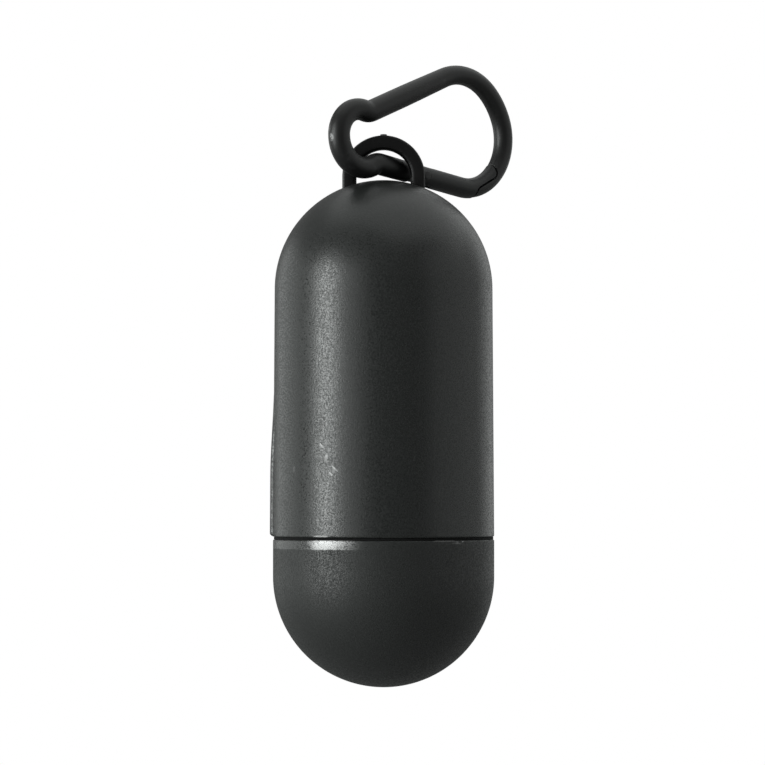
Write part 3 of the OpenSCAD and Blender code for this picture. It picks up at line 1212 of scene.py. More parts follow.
    def gate(self) -> bpy.types.Object:
        """The gate: forked at the hinge, bored for its plunger, stepped at the nose.

        Returns:
            The new piece.
        """
        overrun = (0.0, 60.0, self.nose_r)
        steps = [(self.ear_r + self.gate_l, 0.0, 0.0), overrun]
        track = Track.walk((-self.ear_r, 0.0, 0.0), steps, self.wire_spacing)
        radius = np.full(len(track.travelled), (self.gate_d - self.wire_step / 2) / 2)
        points = self.gate_to_row(self.tube(track, radius, self.wire_columns))
        piece = solid("clip_gate_bar", points, lids=(True, True))
        within = self.outline_tool("gate_end", self.gate_outline(-self.nose_ease), self.gate_d)
        cut(piece, within, Cut.KEEP_INSIDE)
        far = 2 * self.tip_r
        rounded = np.concatenate(
            [corner((0, 0), self.ear_r, 90, 270, 24), [[far, -self.ear_r], [far, far], [0, far]]]
        )
        cut(piece, self.outline_tool("gate_heel", rounded, self.gate_d), Cut.KEEP_INSIDE)
        slot_end = self.tongue_reach + 2 * self.hinge_gap
        half = self.tongue_t / 2 + self.hinge_gap
        wide = self.gate_d
        slit = np.array([[-wide, -wide], [slot_end, -wide], [slot_end, wide], [-wide, wide]])
        cut(piece, self.outline_tool("fork", slit, half), Cut.TAKE_AWAY)
        cut(piece, self.rod_tool("bore", 1.0, self.bore_h, self.bore_d), Cut.TAKE_AWAY)
        hole = ring(32) * self.rivet_d / 2
        cut(piece, self.outline_tool("rivet_hole", hole, self.gate_d), Cut.TAKE_AWAY)
        soften(piece, 0.1 * MM)
        return piece

    def rivet(self) -> bpy.types.Object:
        """Rivet with a lightly domed head at each end.

        Returns:
            The new piece.
        """
        dome_h = 0.12
        half = self.gate_d / 2 + self.rivet_proud
        radius = self.rivet_d / 2
        end = corner((0, 0), radius, 0, 90, 7)
        dome = np.column_stack([end[:, 0], half - dome_h + end[:, 1] * dome_h / radius])
        profile = np.concatenate([dome[::-1], dome * [1, -1]])
        points = turned(np.linspace(0, TAU, 32, endpoint=False), profile[:, 0], profile[:, 1])
        return solid("gate_rivet_pin", self.gate_to_row(points), poles=(True, True))

    def plunger(self) -> bpy.types.Object:
        """Plunger: a head that bears on the tongue and a stem inside the spring.

        Returns:
            The new piece.
        """
        head = self.bore_d - 2 * self.plunger_fit
        start = self.tongue_end + self.hinge_gap
        bar = self.rod(
            start,
            start + self.plunger_head + self.stem_h,
            [(0.0, head), (self.plunger_head, self.stem_d)],
            24,
        )
        piece = make_object("gate_plunger_pin", make_mesh("plunger", [bar]))
        soften(piece, 0.12 * MM)
        return piece

    def spring(self) -> bpy.types.Object:
        """Compression spring: a helix about the gate's bore whose end turns lie closer.

        Returns:
            The new piece.
        """
        play, columns = 0.05, 28
        start = self.tongue_end + self.hinge_gap + self.plunger_head
        half = self.spring_wire_d / 2
        run = self.bore_h - start - 2 * half - 2 * play
        radius = self.bore_d / 2 - self.plunger_fit - half
        turns = self.spring_turns
        t = np.linspace(0, 1, turns * columns + 1)
        angle = TAU * turns * t
        ends = 1.0 / turns
        rise = smoothstep(0, ends, t) * 0.5 * ends + np.clip(t - ends, 0, 1 - 2 * ends)
        rise += smoothstep(1 - ends, 1, t) * 0.5 * ends
        x = start + half + play + run * rise / rise[-1]
        centre = stacked(x, radius * np.cos(angle), radius * np.sin(angle))
        out = stacked(0.0, np.cos(angle), np.sin(angle))
        axis = np.broadcast_to(np.array([1.0, 0.0, 0.0]), out.shape)
        points = self.gate_to_row(swept(centre, out, axis, ring(10) * half))
        return solid("gate_spring_coil", points, lids=(True, True))

    def spring_ends(self) -> Array:
        """Two points on the gate's bore, just inside the spring's two ends.

        Returns:
            Array of shape (2, 3), in metres in the row's frame.
        """
        turn = 2 * self.spring_wire_d
        start = self.tongue_end + self.hinge_gap + self.plunger_head + turn
        end = self.bore_h - turn
        return self.gate_to_row(np.array([[start, 0.0, 0.0], [end, 0.0, 0.0]]))

    def build(self) -> None:
        """Make and fit every piece of the clip."""
        wire, steel = self.finishes[Slot.WIRE], self.finishes[Slot.STEEL]
        fit(self.wire(), Body.CLIP, wire, "clip_frame")
        fit(self.tongue(), Body.CLIP, wire, None)
        fit(self.gate(), Body.GATE, wire, "clip_gate")
        fit(self.rivet(), Body.GATE, wire, "gate_rivet")
        fit(self.plunger(), Body.PLUNGER, steel, "gate_plunger")
        fit_between(
            self.spring(),
            self.spring_ends(),
            steel,
            "gate_spring",
        )


@dataclass
class Capsule:
    """Shell, eye, seal and cap of the capsule. Sizes in millimetres and degrees.

    Heights are above the shell's rim and angles are about the capsule's axis.
    """

    axis: Array
    capsule_d: float = 37.9
    shell_draft: float = 0.5
    shell_h: float = 61.2
    cap_h: float = 25.7
    wall: float = 1.7
    seam_gap: float = 0.4
    rim_chamfer: float = 0.3
    neck_h: float = 7.5
    neck_wall: float = 1.1
    neck_gap: float = 0.7
    seal_t: float = 0.8
    seal_w: float = 1.15
    seal_fit: float = 0.1
    seal_back: float = 0.14
    thread_lead: float = 5.0
    thread_h: float = 0.42
    slot_w: float = 6.0
    slot_h: float = 13.5
    slot_z: float = 15.3
    slot_turn: float = 11.0
    slot_lip: float = 0.45
    pad_w: float = 12.0
    pad_h: float = 26.0
    pad_rise: float = 0.55
    pad_edge: float = 0.5
    eye_w: float = 14.2
    eye_hole_w: float = 9.3
    eye_depth: float = 2.6
    eye_rise: float = 0.6
    stub_d: float = 1.2
    stub_h: float = 0.25
    foot_lip: float = 0.5
    foot_t: float = 1.7
    skin: float = 0.004
    finishes: Finishes = field(default_factory=dict)
    cap_finish: bpy.types.Material | None = None

    def __post_init__(self) -> None:
        """Work out the values that follow from the sizes."""
        self.rim_r = self.capsule_d / 2 - self.skin
        self.crown_r = self.rim_r - self.shell_draft / 2
        self.dome_z = self.shell_h - self.crown_r
        self.bowl_z = -(self.cap_h - self.rim_r)
        self.bore_r = self.rim_r - self.wall
        self.crown_in_r = self.crown_r - self.wall
        self.neck_r = self.bore_r - self.neck_gap
        self.neck_bore_r = self.neck_r - self.neck_wall
        self.eye_bar = (self.eye_w - self.eye_hole_w) / 2
        self.eye_r = (self.eye_w + self.eye_hole_w) / 4
        self.eye_z = self.shell_h + self.eye_rise

    def bowl(self) -> tuple[float, float]:
        """Height and radius of the round bowl inside the cap."""
        return self.capsule_d / 2 - self.cap_h, self.capsule_d / 2 - self.wall

    def to_row(self, points: Array) -> Array:
        """Points about the capsule's axis, in millimetres, in the row's frame in metres."""
        return (points + self.axis) * MM

    def thread(self, angles: Array, height: Array, phase: float, low: float, high: float) -> Array:
        """How far a two-start thread stands out, from 0 to 1.

        The ridges follow z = lead * (angle / turn + start / 2). The height is a rounded
        trapezium across each ridge, and it fades out at both ends of the thread.

        Args:
            angles: Angles, of shape (columns,).
            height: Heights, of shape (rows,).
            phase: Shift of the ridges along the axis.
            low: Where the thread starts.
            high: Where it ends.

        Returns:
            Array of shape (rows, columns).
        """
        pitch, run_out, crest, foot = self.thread_lead / 2, 0.7, 0.25, 0.55
        z = height[:, None] - phase - self.thread_lead * angles[None, :] / TAU
        away = np.abs((z / pitch + 0.5) % 1 - 0.5) * pitch
        starts = smoothstep(low, low + run_out, height)
        fade = starts * (1 - smoothstep(high - run_out, high, height))
        return (1 - smoothstep(crest, foot, away)) * fade[:, None]

    def shell_angles(self) -> Array:
        """Columns round the shell, close together at the pad.

        Returns:
            Angles in radians.
        """
        middle = math.pi - math.radians(self.slot_turn)
        half = math.radians(22)
        near = np.linspace(middle - half, middle + half, 90, endpoint=False)
        far = np.linspace(middle + half, middle + TAU - half, 130, endpoint=False)
        return np.concatenate([near, far])

    def beside_slot(self, angles: Array, radius: Array) -> tuple[Array, Array]:
        """Where points of the wall lie beside the slot's upright middle line.

        Args:
            angles: Angles, of shape (columns,).
            radius: Wall radii, of shape (rows,).

        Returns:
            Distance to the side, radius * sin of the angle between, of shape (rows, columns),
            and whether a column is on the slot's half, of shape (1, columns).
        """
        turn = angles - math.pi + math.radians(self.slot_turn)
        return radius[:, None] * np.sin(turn), np.cos(turn)[None, :] > 0

    def pad(self, angles: Array, height: Array, radius: Array) -> Array:
        """How far the raised pad stands out of the wall.

        Inside its outline, a straight-sided strip with a round top, it rises from nothing
        at the top to its full height below. Its edge is a quarter round.

        Args:
            angles: Angles, of shape (columns,).
            height: Heights, of shape (rows,).
            radius: Wall radii at those heights, of shape (rows,).

        Returns:
            Array of shape (rows, columns).
        """
        side, front = self.beside_slot(angles, radius)
        over = np.clip(height[:, None] - (self.pad_h - self.pad_w / 2), 0, None)
        inside = self.pad_w / 2 - np.hypot(side, over)
        edge = np.sqrt(np.clip(1 - (1 - np.clip(inside / self.pad_edge, 0, 1)) ** 2, 0, 1))
        ramp = 1 - smoothstep(self.pad_h * 0.4, self.pad_h * 1.02, height)
        foot = smoothstep(-0.1, 0.55, height)
        return np.where(front, self.pad_rise * edge * (ramp * foot)[:, None], 0.0)

    def slot_dip(self, angles: Array, height: Array, radius: Array) -> Array:
        """How far the wall rounds inwards at the slot's edge: a quarter round of slot_lip.

        Args:
            angles: Angles, of shape (columns,).
            height: Heights, of shape (rows,).
            radius: Wall radii at those heights, of shape (rows,).

        Returns:
            Array of shape (rows, columns).
        """
        side, front = self.beside_slot(angles, radius)
        half = self.slot_h / 2 - self.slot_w / 2
        over = np.clip(np.abs(height[:, None] - self.slot_z) - half, 0, None)
        near = np.clip((np.hypot(side, over) - self.slot_w / 2) / self.slot_lip, 0, 1)
        return np.where(front, self.slot_lip * (1 - np.sqrt(1 - (1 - near) ** 2)), 0.0)

    def shell_outside(self, angles: Array) -> Array:
        """Outside of the shell, from its rim to the top of its crown.

        The rim is rounded, the wall leans inwards by the draft, and the crown is a round dome.
        The pad stands out of that, and the wall rounds in at the slot.

        Args:
            angles: Columns round the shell.

        Returns:
            Array of shape (rows, columns, 3).
        """
        c, pad_start, pad_spacing, spacing = self.rim_chamfer, 0.45, 0.24, 1.5
        rim_z = np.linspace(0, c, 5)
        pad_z = np.arange(pad_start, self.pad_h + 0.6, pad_spacing)
        plain_z = np.arange(self.pad_h + 1.6, self.dome_z, spacing)
        wall_z = np.concatenate([rim_z, pad_z, plain_z])
        wall_r = self.rim_r + (self.crown_r - self.rim_r) * wall_z / self.dome_z
        round_in = c - np.sqrt(np.clip(c**2 - np.clip(c - wall_z, 0, c) ** 2, 0, None))
        dome = corner((0, self.dome_z), self.crown_r, 0, 90, 46)
        height = np.concatenate([wall_z, dome[:, 1]])
        radius = np.concatenate([wall_r - round_in, dome[:, 0]])
        out = radius[:, None] + self.pad(angles, height, radius)
        return turned(angles, out - self.slot_dip(angles, height, radius), height)

    def shell_inside(self, angles: Array) -> Array:
        """Inside of the shell, from the top of its dome down to its rim, with the thread.

        Rows are close together at the thread, and less so at the slot.

        Args:
            angles: Columns round the shell.

        Returns:
            Array of shape (rows, columns, 3).
        """
        rim, thread_top, slot_top = 0.15, 8.2, 23.5
        dome = corner((0, self.dome_z), self.crown_in_r, 90, 0, 24)
        upper_z = np.arange(self.dome_z - 1.5, slot_top + 0.5, -3.0)
        slot_z = np.arange(slot_top, thread_top + 0.2, -0.5)
        thread_z = np.arange(thread_top, 2 * rim, -0.16)
        bore_z = np.concatenate([upper_z, slot_z, thread_z, [rim, 0.0]])
        bore_r = self.bore_r + (self.crown_in_r - self.bore_r) * bore_z / self.dome_z
        bore_r[-1] += rim
        ridges = self.thread(angles, bore_z, self.thread_lead / 4, 0.6, 8.0)
        threaded = bore_r[:, None] - self.thread_h * ridges
        radius = np.vstack([np.repeat(dome[:, :1], len(angles), axis=1), threaded])
        return turned(angles, radius, np.concatenate([dome[:, 1], bore_z]))

    def shell(self) -> bpy.types.Object:
        """The drafted shell with its crown, pad, slot and inside thread.

        Returns:
            The new piece.
        """
        angles = self.shell_angles()
        rows = np.concatenate([self.shell_inside(angles), self.shell_outside(angles)])
        piece = solid("shell_case", self.to_row(rows), poles=(True, True))
        self.cut_slot(piece)
        return piece

    def cut_slot(self, piece: bpy.types.Object) -> None:
        """Cut the dispensing slot: an upright stadium through the shell's side.

        Args:
            piece: The shell.
        """
        half = self.slot_h / 2 - self.slot_w / 2
        r = self.slot_w / 2
        top = corner((0, self.slot_z + half), r, 0, 180, 24)
        bottom = corner((0, self.slot_z - half), r, 180, 360, 24)
        outline = np.concatenate([top, bottom])
        rows = prism(outline, self.crown_in_r / 2, self.rim_r + self.wall)
        x, y = spun(rows[..., 2], rows[..., 0], 180 - self.slot_turn)
        tool = Patch(self.to_row(stacked(x, y, rows[..., 1])), lids=(True, True))
        cut(piece, make_mesh("slot_cut", [tool]), Cut.TAKE_AWAY)
        shade_smooth(piece.data)

    def cap(self) -> bpy.types.Object:
        """The cap: rounded bottom, crisp shoulder, and a neck with the outside thread.

        Returns:
            The new piece.
        """
        angles = np.linspace(0, TAU, 180, endpoint=False)
        c, gap, spacing, burr = self.rim_chamfer, self.seam_gap, 0.9, 0.05
        seal_out = self.neck_r + 2 * self.seal_fit + self.seal_w
        outer = np.concatenate(
            [
                corner((0, self.bowl_z), self.rim_r, -90, 0, 46),
                upright(self.rim_r, np.arange(self.bowl_z + spacing, -gap - c - 0.1, spacing)),
                corner((self.rim_r - c, -gap - c), c, 0, 90, 6),
                [[seal_out + burr, -gap], [seal_out, -gap - burr]],
                [[seal_out, -self.seal_t], [self.neck_r, -self.seal_t], [self.neck_r, 0.0]],
            ]
        )
        edge, half_edge, bore_edge = 0.4, 0.12, 0.2
        neck_z = np.arange(0.2, self.neck_h - edge, 0.14)
        neck = upright(self.neck_r, neck_z)
        top = [
            [self.neck_r, self.neck_h - edge],
            [self.neck_r - half_edge, self.neck_h - half_edge],
            [self.neck_r - edge, self.neck_h],
            [self.neck_bore_r + bore_edge, self.neck_h],
            [self.neck_bore_r, self.neck_h - bore_edge],
        ]
        bowl_r = self.rim_r - self.wall
        meet = math.degrees(math.acos(self.neck_bore_r / bowl_r))
        bore_z = self.bowl_z - bowl_r * math.sin(math.radians(meet)) + 9.0
        bowl = corner((0, self.bowl_z), bowl_r, -meet, -90, 30)
        profile = np.concatenate([outer, neck, top, [[self.neck_bore_r, bore_z]], bowl])
        radius = np.repeat(profile[:, :1], len(angles), axis=1)
        rows = slice(len(outer), len(outer) + len(neck))
        radius[rows] += self.thread_h * self.thread(angles, neck_z, 0.0, 1.0, 6.8)
        points = turned(angles, radius, profile[:, 1])
        return solid("cap_cup", self.to_row(points), poles=(True, True))

    def seal(self) -> bpy.types.Object:
        """Seal ring with rounded corners and a thin lip that fills the seam; its near-black rubber at
        the seam is partly the seal itself and partly painted shade of the seam gap.

        Returns:
            The new piece.
        """
        low, high = self.neck_r + self.seal_fit, self.neck_r + self.seal_fit + self.seal_w
        # The lip reaches almost to the shell's outside, so its near-black rubber paints the seam's
        # shade.
        lip = self.rim_r - self.seal_back
        r = 0.12
        corners = [
            ((lip - r, -r), 0, 90),
            ((low + r, -r), 90, 180),
            ((low + r, r - self.seal_t), 180, 270),
            ((high - r, r - self.seal_t), 270, 360),
            ((high, -self.seam_gap), 0, 0),
            ((lip - r, r - self.seam_gap), 270, 360),
        ]
        profile = np.concatenate(
            [corner(at, r if b > a else 0, a, b, 5 if b > a else 1) for at, a, b in corners]
        )
        angles = np.linspace(0, TAU, 120, endpoint=False)
        points = turned(angles, profile[:, 0], profile[:, 1])
        return solid("seal_band", self.to_row(points), looped=True)

    def eye_section(self, widen: float, count: int) -> Array:
        """Section of the eye's bar: a rectangle with rounder corners towards the hole.

        Args:
            widen: How much wider than the bar it is on every side.
            count: Points on each corner.

        Returns:
            Section of shape (4 * count, 2): outwards and to the back.
        """
        x, y = self.eye_bar / 2 + widen, self.eye_depth / 2 + widen
        out, inn = 0.45, 0.7
        parts = [
            corner((x - out, y - out), out, 0, 90, count),
            corner((-x + inn, y - inn), inn, 90, 180, count),
            corner((-x + inn, -y + inn), inn, 180, 270, count),
            corner((x - out, -y + out), out, 270, 360, count),
        ]
        return np.concatenate(parts)

    def eye(self) -> bpy.types.Object:
        """The hanging eye: an arch on two legs that end in feet under the crown.

        Returns:
            The new piece.
        """
        sole = self.dome_z + math.sqrt(self.crown_in_r**2 - self.eye_r**2) - self.foot_t
        foot_h, leg_start = 0.9, 1.0
        foot = [sole, sole + 0.01, sole + foot_h]
        stem = [sole + leg_start, self.shell_h - 2, self.shell_h - 0.5, self.eye_z - 0.01]
        leg = np.array(foot + stem)
        lip = np.array([self.foot_lip] * len(foot) + [0.0] * len(stem))
        arch = np.linspace(0, math.pi, 49)
        right = stacked(self.eye_r, 0.0, leg)
        over = stacked(self.eye_r * np.cos(arch), 0.0, self.eye_z + self.eye_r * np.sin(arch))
        left = (right * [-1, 1, 1])[::-1]
        centre = np.concatenate([right, over, left])
        out_right = np.broadcast_to([1.0, 0, 0], right.shape)
        out_over = stacked(np.cos(arch), 0.0, np.sin(arch))
        side = np.concatenate([out_right, out_over, -out_right])
        back = np.broadcast_to(np.array([0.0, 1.0, 0.0]), side.shape)
        widen = np.concatenate([lip, 0 * arch, lip[::-1]])
        plain, wide = self.eye_section(0, 6), self.eye_section(self.foot_lip, 6)
        share = (widen / self.foot_lip)[:, None, None]
        section = plain[None] * (1 - share) + wide[None] * share
        bar = Patch(self.to_row(swept(centre, side, back, section)), lids=(True, True))
        r, edge = self.stub_d / 2, 0.15
        low = self.eye_z + self.eye_w / 2 - 2 * edge
        high = self.eye_z + self.eye_w / 2 + self.stub_h
        round_edge = corner((r - edge, high - edge), edge, 0, 90, 5)
        profile = np.concatenate([[[0, low], [r, low]], round_edge, [[0, high]]])
        stub = turned(np.linspace(0, TAU, 24, endpoint=False), profile[:, 0], profile[:, 1])
        nub = Patch(self.to_row(stub), poles=(True, True))
        return make_object("eye_arch", make_mesh("eye", [bar, nub]))

    def build(self) -> None:
        """Make and fit the capsule's pieces."""
        plastic = self.finishes[Slot.CAPSULE]
        fit(self.shell(), Body.SHELL, plastic, "shell")
        fit(self.eye(), Body.SHELL, self.finishes[Slot.EYE], "hanging_eye")
        fit(self.seal(), Body.SEAL, self.finishes[Slot.SEAL], "seal_ring")
        fit(self.cap(), Body.CAP, self.cap_finish or plastic, "cap")


@dataclass
class BagRoll:
    """Film wound on a card core. Sizes in millimetres, heights above the shell's rim."""

    axis: Array
    bowl_z: float
    bowl_r: float
    roll_seat: float = 0.3
    roll_d: float = 29.5
    roll_h: float = 60.0
    core_d: float = 17.0
    core_wall: float = 1.2
    core_inset: float = 0.6
    roll_edge: float = 0.8
    core_pitch: float = 26.0
    finishes: Finishes = field(default_factory=dict)

    def __post_init__(self) -> None:
        """Stand the roll with its lower edge just above the cap's round bowl."""
        reach = self.bowl_r - self.roll_edge - self.roll_seat
        edge_r = self.roll_d / 2 - self.roll_edge
        self.roll_z = self.bowl_z - self.roll_edge - math.sqrt(reach**2 - edge_r**2)

    def to_row(self, points: Array) -> Array:
        """Points about the roll's axis, from its lower end, in metres in the row's frame."""
        return (points + self.axis + np.array([0, 0, self.roll_z])) * MM

    def film(self) -> bpy.types.Object:
        """The wound film: its outer layer ends in a free edge, and its ends are layered.

        The radius falls by one layer's thickness over one turn, and the end faces carry
        fine steps where the layers don't quite line up.

        Returns:
            The new piece.
        """
        angles = np.linspace(0, TAU, 161)[:-1]
        e, r, h = self.roll_edge, self.roll_d / 2, self.roll_h
        inner = self.core_d / 2
        rings = np.linspace(inner, r - e, 40)
        wave = 0.11 * np.sin(rings * 9.0) + 0.07 * np.sin(rings * 23.0)
        bottom = np.column_stack([rings, np.abs(wave)])
        low = corner((r - e, e), e, -90, 0, 6)
        side_z = np.linspace(e, h - e, 60)[1:-1]
        side = upright(r, side_z)
        high = corner((r - e, h - e), e, 0, 90, 6)
        topside = np.column_stack([rings, h - np.abs(wave)])[::-1]
        bore = np.array([[inner, h * 0.66], [inner, h * 0.33]])
        profile = np.concatenate([bottom, low, side, high, topside, bore])
        layer = 0.12
        spiral = layer * angles / TAU
        share = smoothstep(inner + 2, r - e, profile[:, 0])
        radius = profile[:, :1] - share[:, None] * spiral[None, :]
        points = turned(angles, radius, profile[:, 1])
        return solid("film_roll", self.to_row(points), looped=True)

    def core(self) -> bpy.types.Object:
        """Card core: a tube with soft cut ends and a shallow spiral seam inside.

        Returns:
            The new piece.
        """
        low, high = self.core_inset, self.roll_h - self.core_inset
        inner, outer = self.core_d / 2 - self.core_wall, self.core_d / 2 - 0.01
        soft, rise, seam_depth = 0.12, 0.15, 0.12
        rows = np.linspace(low + rise, high - rise, 90)
        outside = upright(outer, rows)
        inside = upright(inner, rows)[::-1]
        rim = [[outer - soft, high], [inner + soft, high]]
        sole = [[inner + soft, low], [outer - soft, low]]
        profile = np.concatenate([outside, rim, inside, sole])
        angles = np.linspace(0, TAU, 72, endpoint=False)
        pitch = self.core_pitch
        z = profile[:, 1][:, None] - pitch * angles[None, :] / TAU
        seam = 1 - smoothstep(0.25, 0.6, np.abs((z / pitch + 0.5) % 1 - 0.5) * pitch)
        within = (profile[:, 0] < inner + 0.01)[:, None]
        radius = profile[:, :1] + np.where(within, seam_depth * seam, 0.0)
        points = turned(angles, radius, profile[:, 1])
        return solid("card_core", self.to_row(points), looped=True)

    def build(self) -> None:
        """Make and fit the roll's pieces."""
        fit(self.film(), Body.ROLL, self.finishes[Slot.FILM], "bag_roll")
        fit(self.core(), Body.ROLL, self.finishes[Slot.CARD], "roll_core")


# Studio


@dataclass(frozen=True)
class Softbox:
    """Rectangular lamp that faces the capsule.

    Attributes:
        name: Name of the lamp.
        azimuth: Degrees round from the camera's side, positive to the left.
        rise: Height of the lamp's middle above the capsule's, in degrees.
        away: Distance, in metres.
        size: Width and height, in metres.
        level: Radiance, where 1 is white.
        colour: Its slightly green white, as in the photograph's highlights.
    """

    name: str
    azimuth: float
    rise: float
    away: float
    size: tuple[float, float]
    level: float
    colour: tuple[float, float, float] = (0.965, 1.0, 0.985)

    def place(self, middle: Array) -> None:
        """Add the lamp, facing a place in metres.

        Args:
            middle: What it faces, in metres.
        """
        data = bpy.data.lights.new(self.name, "AREA")
        data.shape = "RECTANGLE"
        data.size, data.size_y = self.size
        data.energy = self.level * math.pi * self.size[0] * self.size[1]
        data.color = self.colour
        lamp = make_object(self.name, data)
        a, e = math.radians(self.azimuth), math.radians(self.rise)
        way = np.array([-math.sin(a) * math.cos(e), -math.cos(a) * math.cos(e), math.sin(e)])
        lamp.location = middle + self.away * way
        lamp.rotation_euler = (math.pi / 2 - e, 0, -a)


@dataclass
class Studio:
    """Camera, soft lights, white surroundings and floor.

    Lengths are in metres, and the picture's rows and columns in pixels.
    """

    axis: Array
    camera_away: float = 0.6
    camera_z: float = -0.06672
    pixels: float = 765.0
    pixels_per_mm: float = 5.83
    middle_column: float = 383.6
    level_row: float = 489.0
    aim_row: float = 383.0
    capsule_middle: float = 0.018
    floor_z: float = -0.24
    floor_half: float = 8.0
    least_glow: float = 0.35
    glow_edge: tuple[float, float] = (0.12, 0.42)

    def camera(self) -> None:
        """Camera straight in front of the capsule, tilted up a little from its own horizon."""
        data = bpy.data.cameras.new("camera")
        data.sensor_width = 36.0
        focal = self.pixels_per_mm / MM * self.camera_away
        data.lens = focal / self.pixels * data.sensor_width
        centre = self.pixels / 2
        data.shift_x = (centre - self.middle_column) / self.pixels
        data.clip_start = 0.01
        camera = make_object("camera", data)
        camera.location = (self.axis[0] * MM, self.axis[1] * MM - self.camera_away, self.camera_z)
        tilt = math.atan((self.level_row - self.aim_row) / focal)
        camera.rotation_euler = (math.pi / 2 + tilt, 0, 0)
        bpy.context.scene.camera = camera

    def lights(self) -> None:
        """One tall key light, broad panels beside and behind it, a top light and weak fills."""
        middle = self.axis * MM + np.array([0, 0, self.capsule_middle])
        for lamp in LAMPS:
            lamp.place(middle)

    def world(self) -> None:
        """White behind the object for the camera, and a dim grey for all other light."""
        world = bpy.data.worlds.new("studio")
        bpy.context.scene.world = world
        world.use_nodes = True
        tree = Tree(world.node_tree)
        path = tree.add("ShaderNodeLightPath", output="Is Camera Ray")
        level = tree.mix(path, grey(0.2), grey(1.0))
        back = tree.add("ShaderNodeBackground", None, {"Color": level, "Strength": 1.0})
        tree.add("ShaderNodeOutputWorld", None, {"Surface": back})

    def floor(self) -> None:
        """Pale level floor that keeps the object's shadow and fades into the white around it.

        For the camera the floor glows white beyond a circle whose edge is soft, and inside
        it is matte with a weaker glow. For all other light it is a darker matte grey.
        """
        side = np.linspace(-self.floor_half, self.floor_half, 9)
        x, y = np.meshgrid(side, side)
        points = stacked(x, y, self.floor_z)
        mesh = bpy.data.meshes.new("floor")
        mesh.from_pydata(points.reshape(-1, 3).tolist(), [], Patch(points, around=False).faces())
        floor = make_object("floor", mesh)
        material = bpy.data.materials.new("pale_floor")
        material.use_nodes = True
        tree = Tree(material.node_tree)
        vector, _, _, _ = tree.place()
        mottle = tree.noise(vector, 0.2, 2.0)
        seen = tree.add("ShaderNodeLightPath", output="Is Camera Ray")
        pale = tree.mix(mottle, grey(0.84), grey(0.87))
        matte = tree.add(
            "ShaderNodeBsdfPrincipled",
            None,
            {"Base Color": tree.mix(seen, grey(0.3), pale), "Roughness": 0.9},
        )
        glow = tree.add("ShaderNodeEmission", None, {"Color": grey(1.0), "Strength": 1.0})
        middle = (self.axis[0] * MM, self.axis[1] * MM, self.floor_z)
        away = tree.vector("DISTANCE", "Value", vector, middle)
        share = self.least_glow + (1 - self.least_glow) * away.smooth(*self.glow_edge)
        shader = tree.add("ShaderNodeMixShader", None, {0: seen * share, 1: matte, 2: glow})
        tree.add("ShaderNodeOutputMaterial", None, {"Surface": shader})
        mesh.materials.append(material)

    def build(self) -> None:
        """Set up the whole studio."""
        self.camera()
        self.lights()
        self.world()
        self.floor()
        bpy.context.scene.view_settings.view_transform = "Standard"


LAMPS = (
    Softbox("key", 63, -5, 0.9, (0.36, 1.0), 10.0),
    Softbox("wash", 36, -3, 0.9, (0.42, 1.0), 1.1),
    Softbox("side", 122, -5, 0.9, (0.8, 0.95), 1.08),
    Softbox("top", -140, 75, 0.9, (1.6, 1.6), 0.75),
    Softbox("right", -80, 0, 0.9, (1.1, 1.3), 0.45),
    Softbox("fill", -140, 5, 1.0, (0.7, 1.2), 0.66),
)
PLASTIC = (0.0146, 0.0163, 0.0154, 1)
# Each mark's ends from the capsule's axis and rim, x z x z, then its width, all in millimetres,
# and its strength. Most are scratches; the rows noted below are painted edge highlights.
SHELL_MARKS_AND_HIGHLIGHT = (
    (-10.75, 15.9, -10.0, 15.0, 0.14, 0.75),
    (-9.4, 14.1, -9.75, 12.8, 0.3, 0.42),
    (-8.7, 12.2, -7.6, 11.0, 0.17, 0.5),
    (-8.3, 11.9, -8.35, 10.7, 0.34, 0.32),
    (-9.15, 11.1, -8.55, 10.4, 0.18, 0.8),
    (-9.15, 10.0, -9.7, 5.5, 0.14, 0.2),
    (-9.5, 5.8, -9.9, 2.5, 0.14, 0.18),
    (-15.1, 12.1, -15.1, 10.9, 0.2, 0.12),
    # Painted highlight along the lower edge of the shell's rim.
    (-11.9, 0.3, -9.1, 0.26, 0.16, 0.7),
)
WIRE_SPOTS = (
    Spot((-0.0275, -0.0248, -0.0071), (0.0005, 0.0012, 0.0009), 0.85),
    Spot((-0.0279, -0.0246, -0.0056), (0.0003, 0.0008, 0.0009), 0.2),
)
CAP_MARKS_AND_HIGHLIGHTS = (
    (-11.0, -1.4, -10.85, -4.0, 0.09, 0.2),
    (-10.55, -1.2, -10.4, -3.6, 0.09, 0.2),
    (-10.7, -4.7, -10.2, -6.2, 0.09, 0.14),
    (-8.6, -3.1, -8.8, -4.9, 0.09, 0.14),
    (-8.8, -4.9, -9.1, -6.0, 0.09, 0.14),
    (-8.2, -3.1, -7.5, -4.2, 0.09, 0.12),
    (-9.6, -7.4, -9.2, -6.5, 0.12, 0.08),
    # Painted highlight along the cap's top edge.
    (8.0, -0.46, 12.3, -0.5, 0.12, 0.22),
    # A chip in that edge.
    (12.3, -0.5, 12.35, -1.05, 0.3, 0.16),
    # Painted glint on the cap's top edge.
    (13.2, -0.5, 13.35, -0.7, 0.16, 0.6),
    # Painted highlight on the band under the cap's edge.
    (11.3, -0.85, 13.1, -0.95, 0.14, 0.12),
)


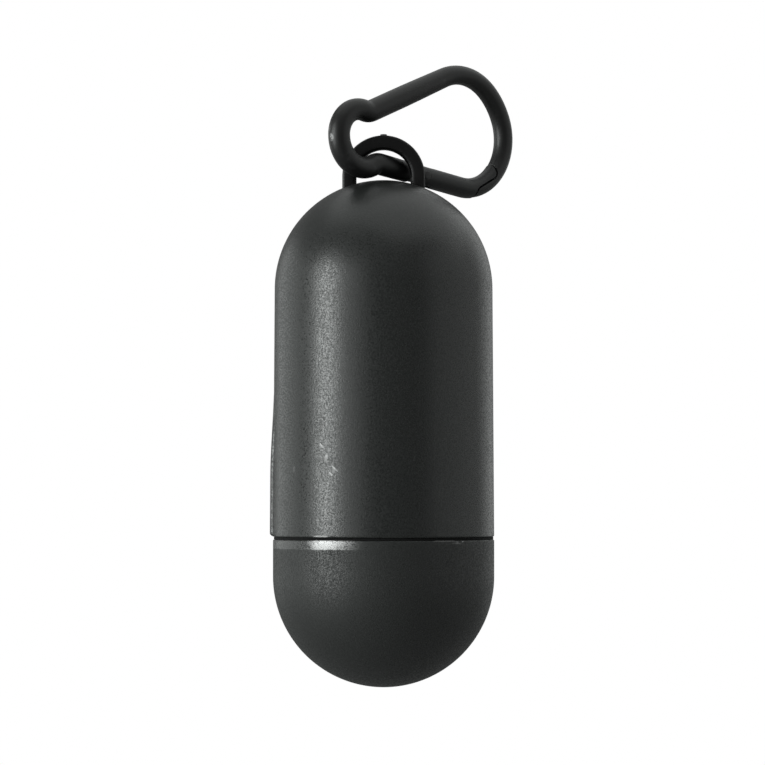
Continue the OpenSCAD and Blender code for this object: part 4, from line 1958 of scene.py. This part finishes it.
def front_marks(axis: Array, rows: Iterable[tuple[float, ...]]) -> tuple[LineMark, ...]:
    """Pale lines on the front, scratches and painted edge highlights, from rows such as those of
    SHELL_MARKS_AND_HIGHLIGHT.

    Args:
        axis: Where the capsule's axis meets its rim, in millimetres.
        rows: Marks, as in SHELL_MARKS_AND_HIGHLIGHT.

    Returns:
        The marks, in metres in the row's frame.
    """
    x, z = axis[0], axis[2]
    return tuple(
        LineMark(((x + x0) * MM, (z + z0) * MM), ((x + x1) * MM, (z + z1) * MM), width * MM, strength)
        for x0, z0, x1, z1, width, strength in rows
    )


def make_finishes(axis: Array) -> Finishes:
    """Build every finish once.

    Args:
        axis: Where the capsule's axis meets its rim, in millimetres.

    Returns:
        Each slot's material.
    """
    marks = front_marks(axis, SHELL_MARKS_AND_HIGHLIGHT)
    return {
        Slot.CAPSULE: CapsulePlastic("capsule_plastic", PLASTIC, 0.36, marks=marks).make(),
        Slot.EYE: EyePlastic("eye_plastic", grey(0.004), 0.42).make(),
        Slot.WIRE: BlackWire("black_wire", grey(0.0075), 0.43, spots=WIRE_SPOTS).make(),
        Slot.STEEL: Steel("steel", grey(0.55), 0.35, 1.0).make(),
        Slot.SEAL: Rubber("seal_rubber", grey(0.003), 0.85).make(),
        Slot.CARD: Card("cardboard", (0.5, 0.38, 0.24, 1), 0.9).make(),
        Slot.FILM: Film("bag_film", grey(0.02), 0.42).make(),
    }


def make_cap_finish(axis: Array) -> bpy.types.Material:
    """Build the cap's own, duller plastic with the polished band under its top edge and the painted
    highlight on the band's lit left.

    Args:
        axis: Where the capsule's axis meets its rim, in millimetres.

    Returns:
        The material.
    """
    return CapsulePlastic(
        "cap_plastic",
        PLASTIC,
        0.58,
        marks=front_marks(axis, CAP_MARKS_AND_HIGHLIGHTS),
        band=tuple((axis[2] + z) * MM for z in (-1.95, -0.2)),
        # Where the band's painted highlight rises and falls, along x.
        highlight_side=tuple((axis[0] + x) * MM for x in (-13.4, -10.9, -9.4, -2.6)),
    ).make()


def main() -> None:
    """Load the frame, build every sub-assembly and the studio."""
    logging.basicConfig(level=logging.INFO, format="%(message)s")
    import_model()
    clip = SnapClip()
    axis = -clip.origin - np.array([0, 0, clip.rim_below_wire])
    clip.finishes = finishes = make_finishes(axis)
    clip.build()
    capsule = Capsule(axis, finishes=finishes, cap_finish=make_cap_finish(axis))
    capsule.build()
    BagRoll(axis, *capsule.bowl(), finishes=finishes).build()
    Studio(axis).build()


if __name__ == "__main__":
    main()
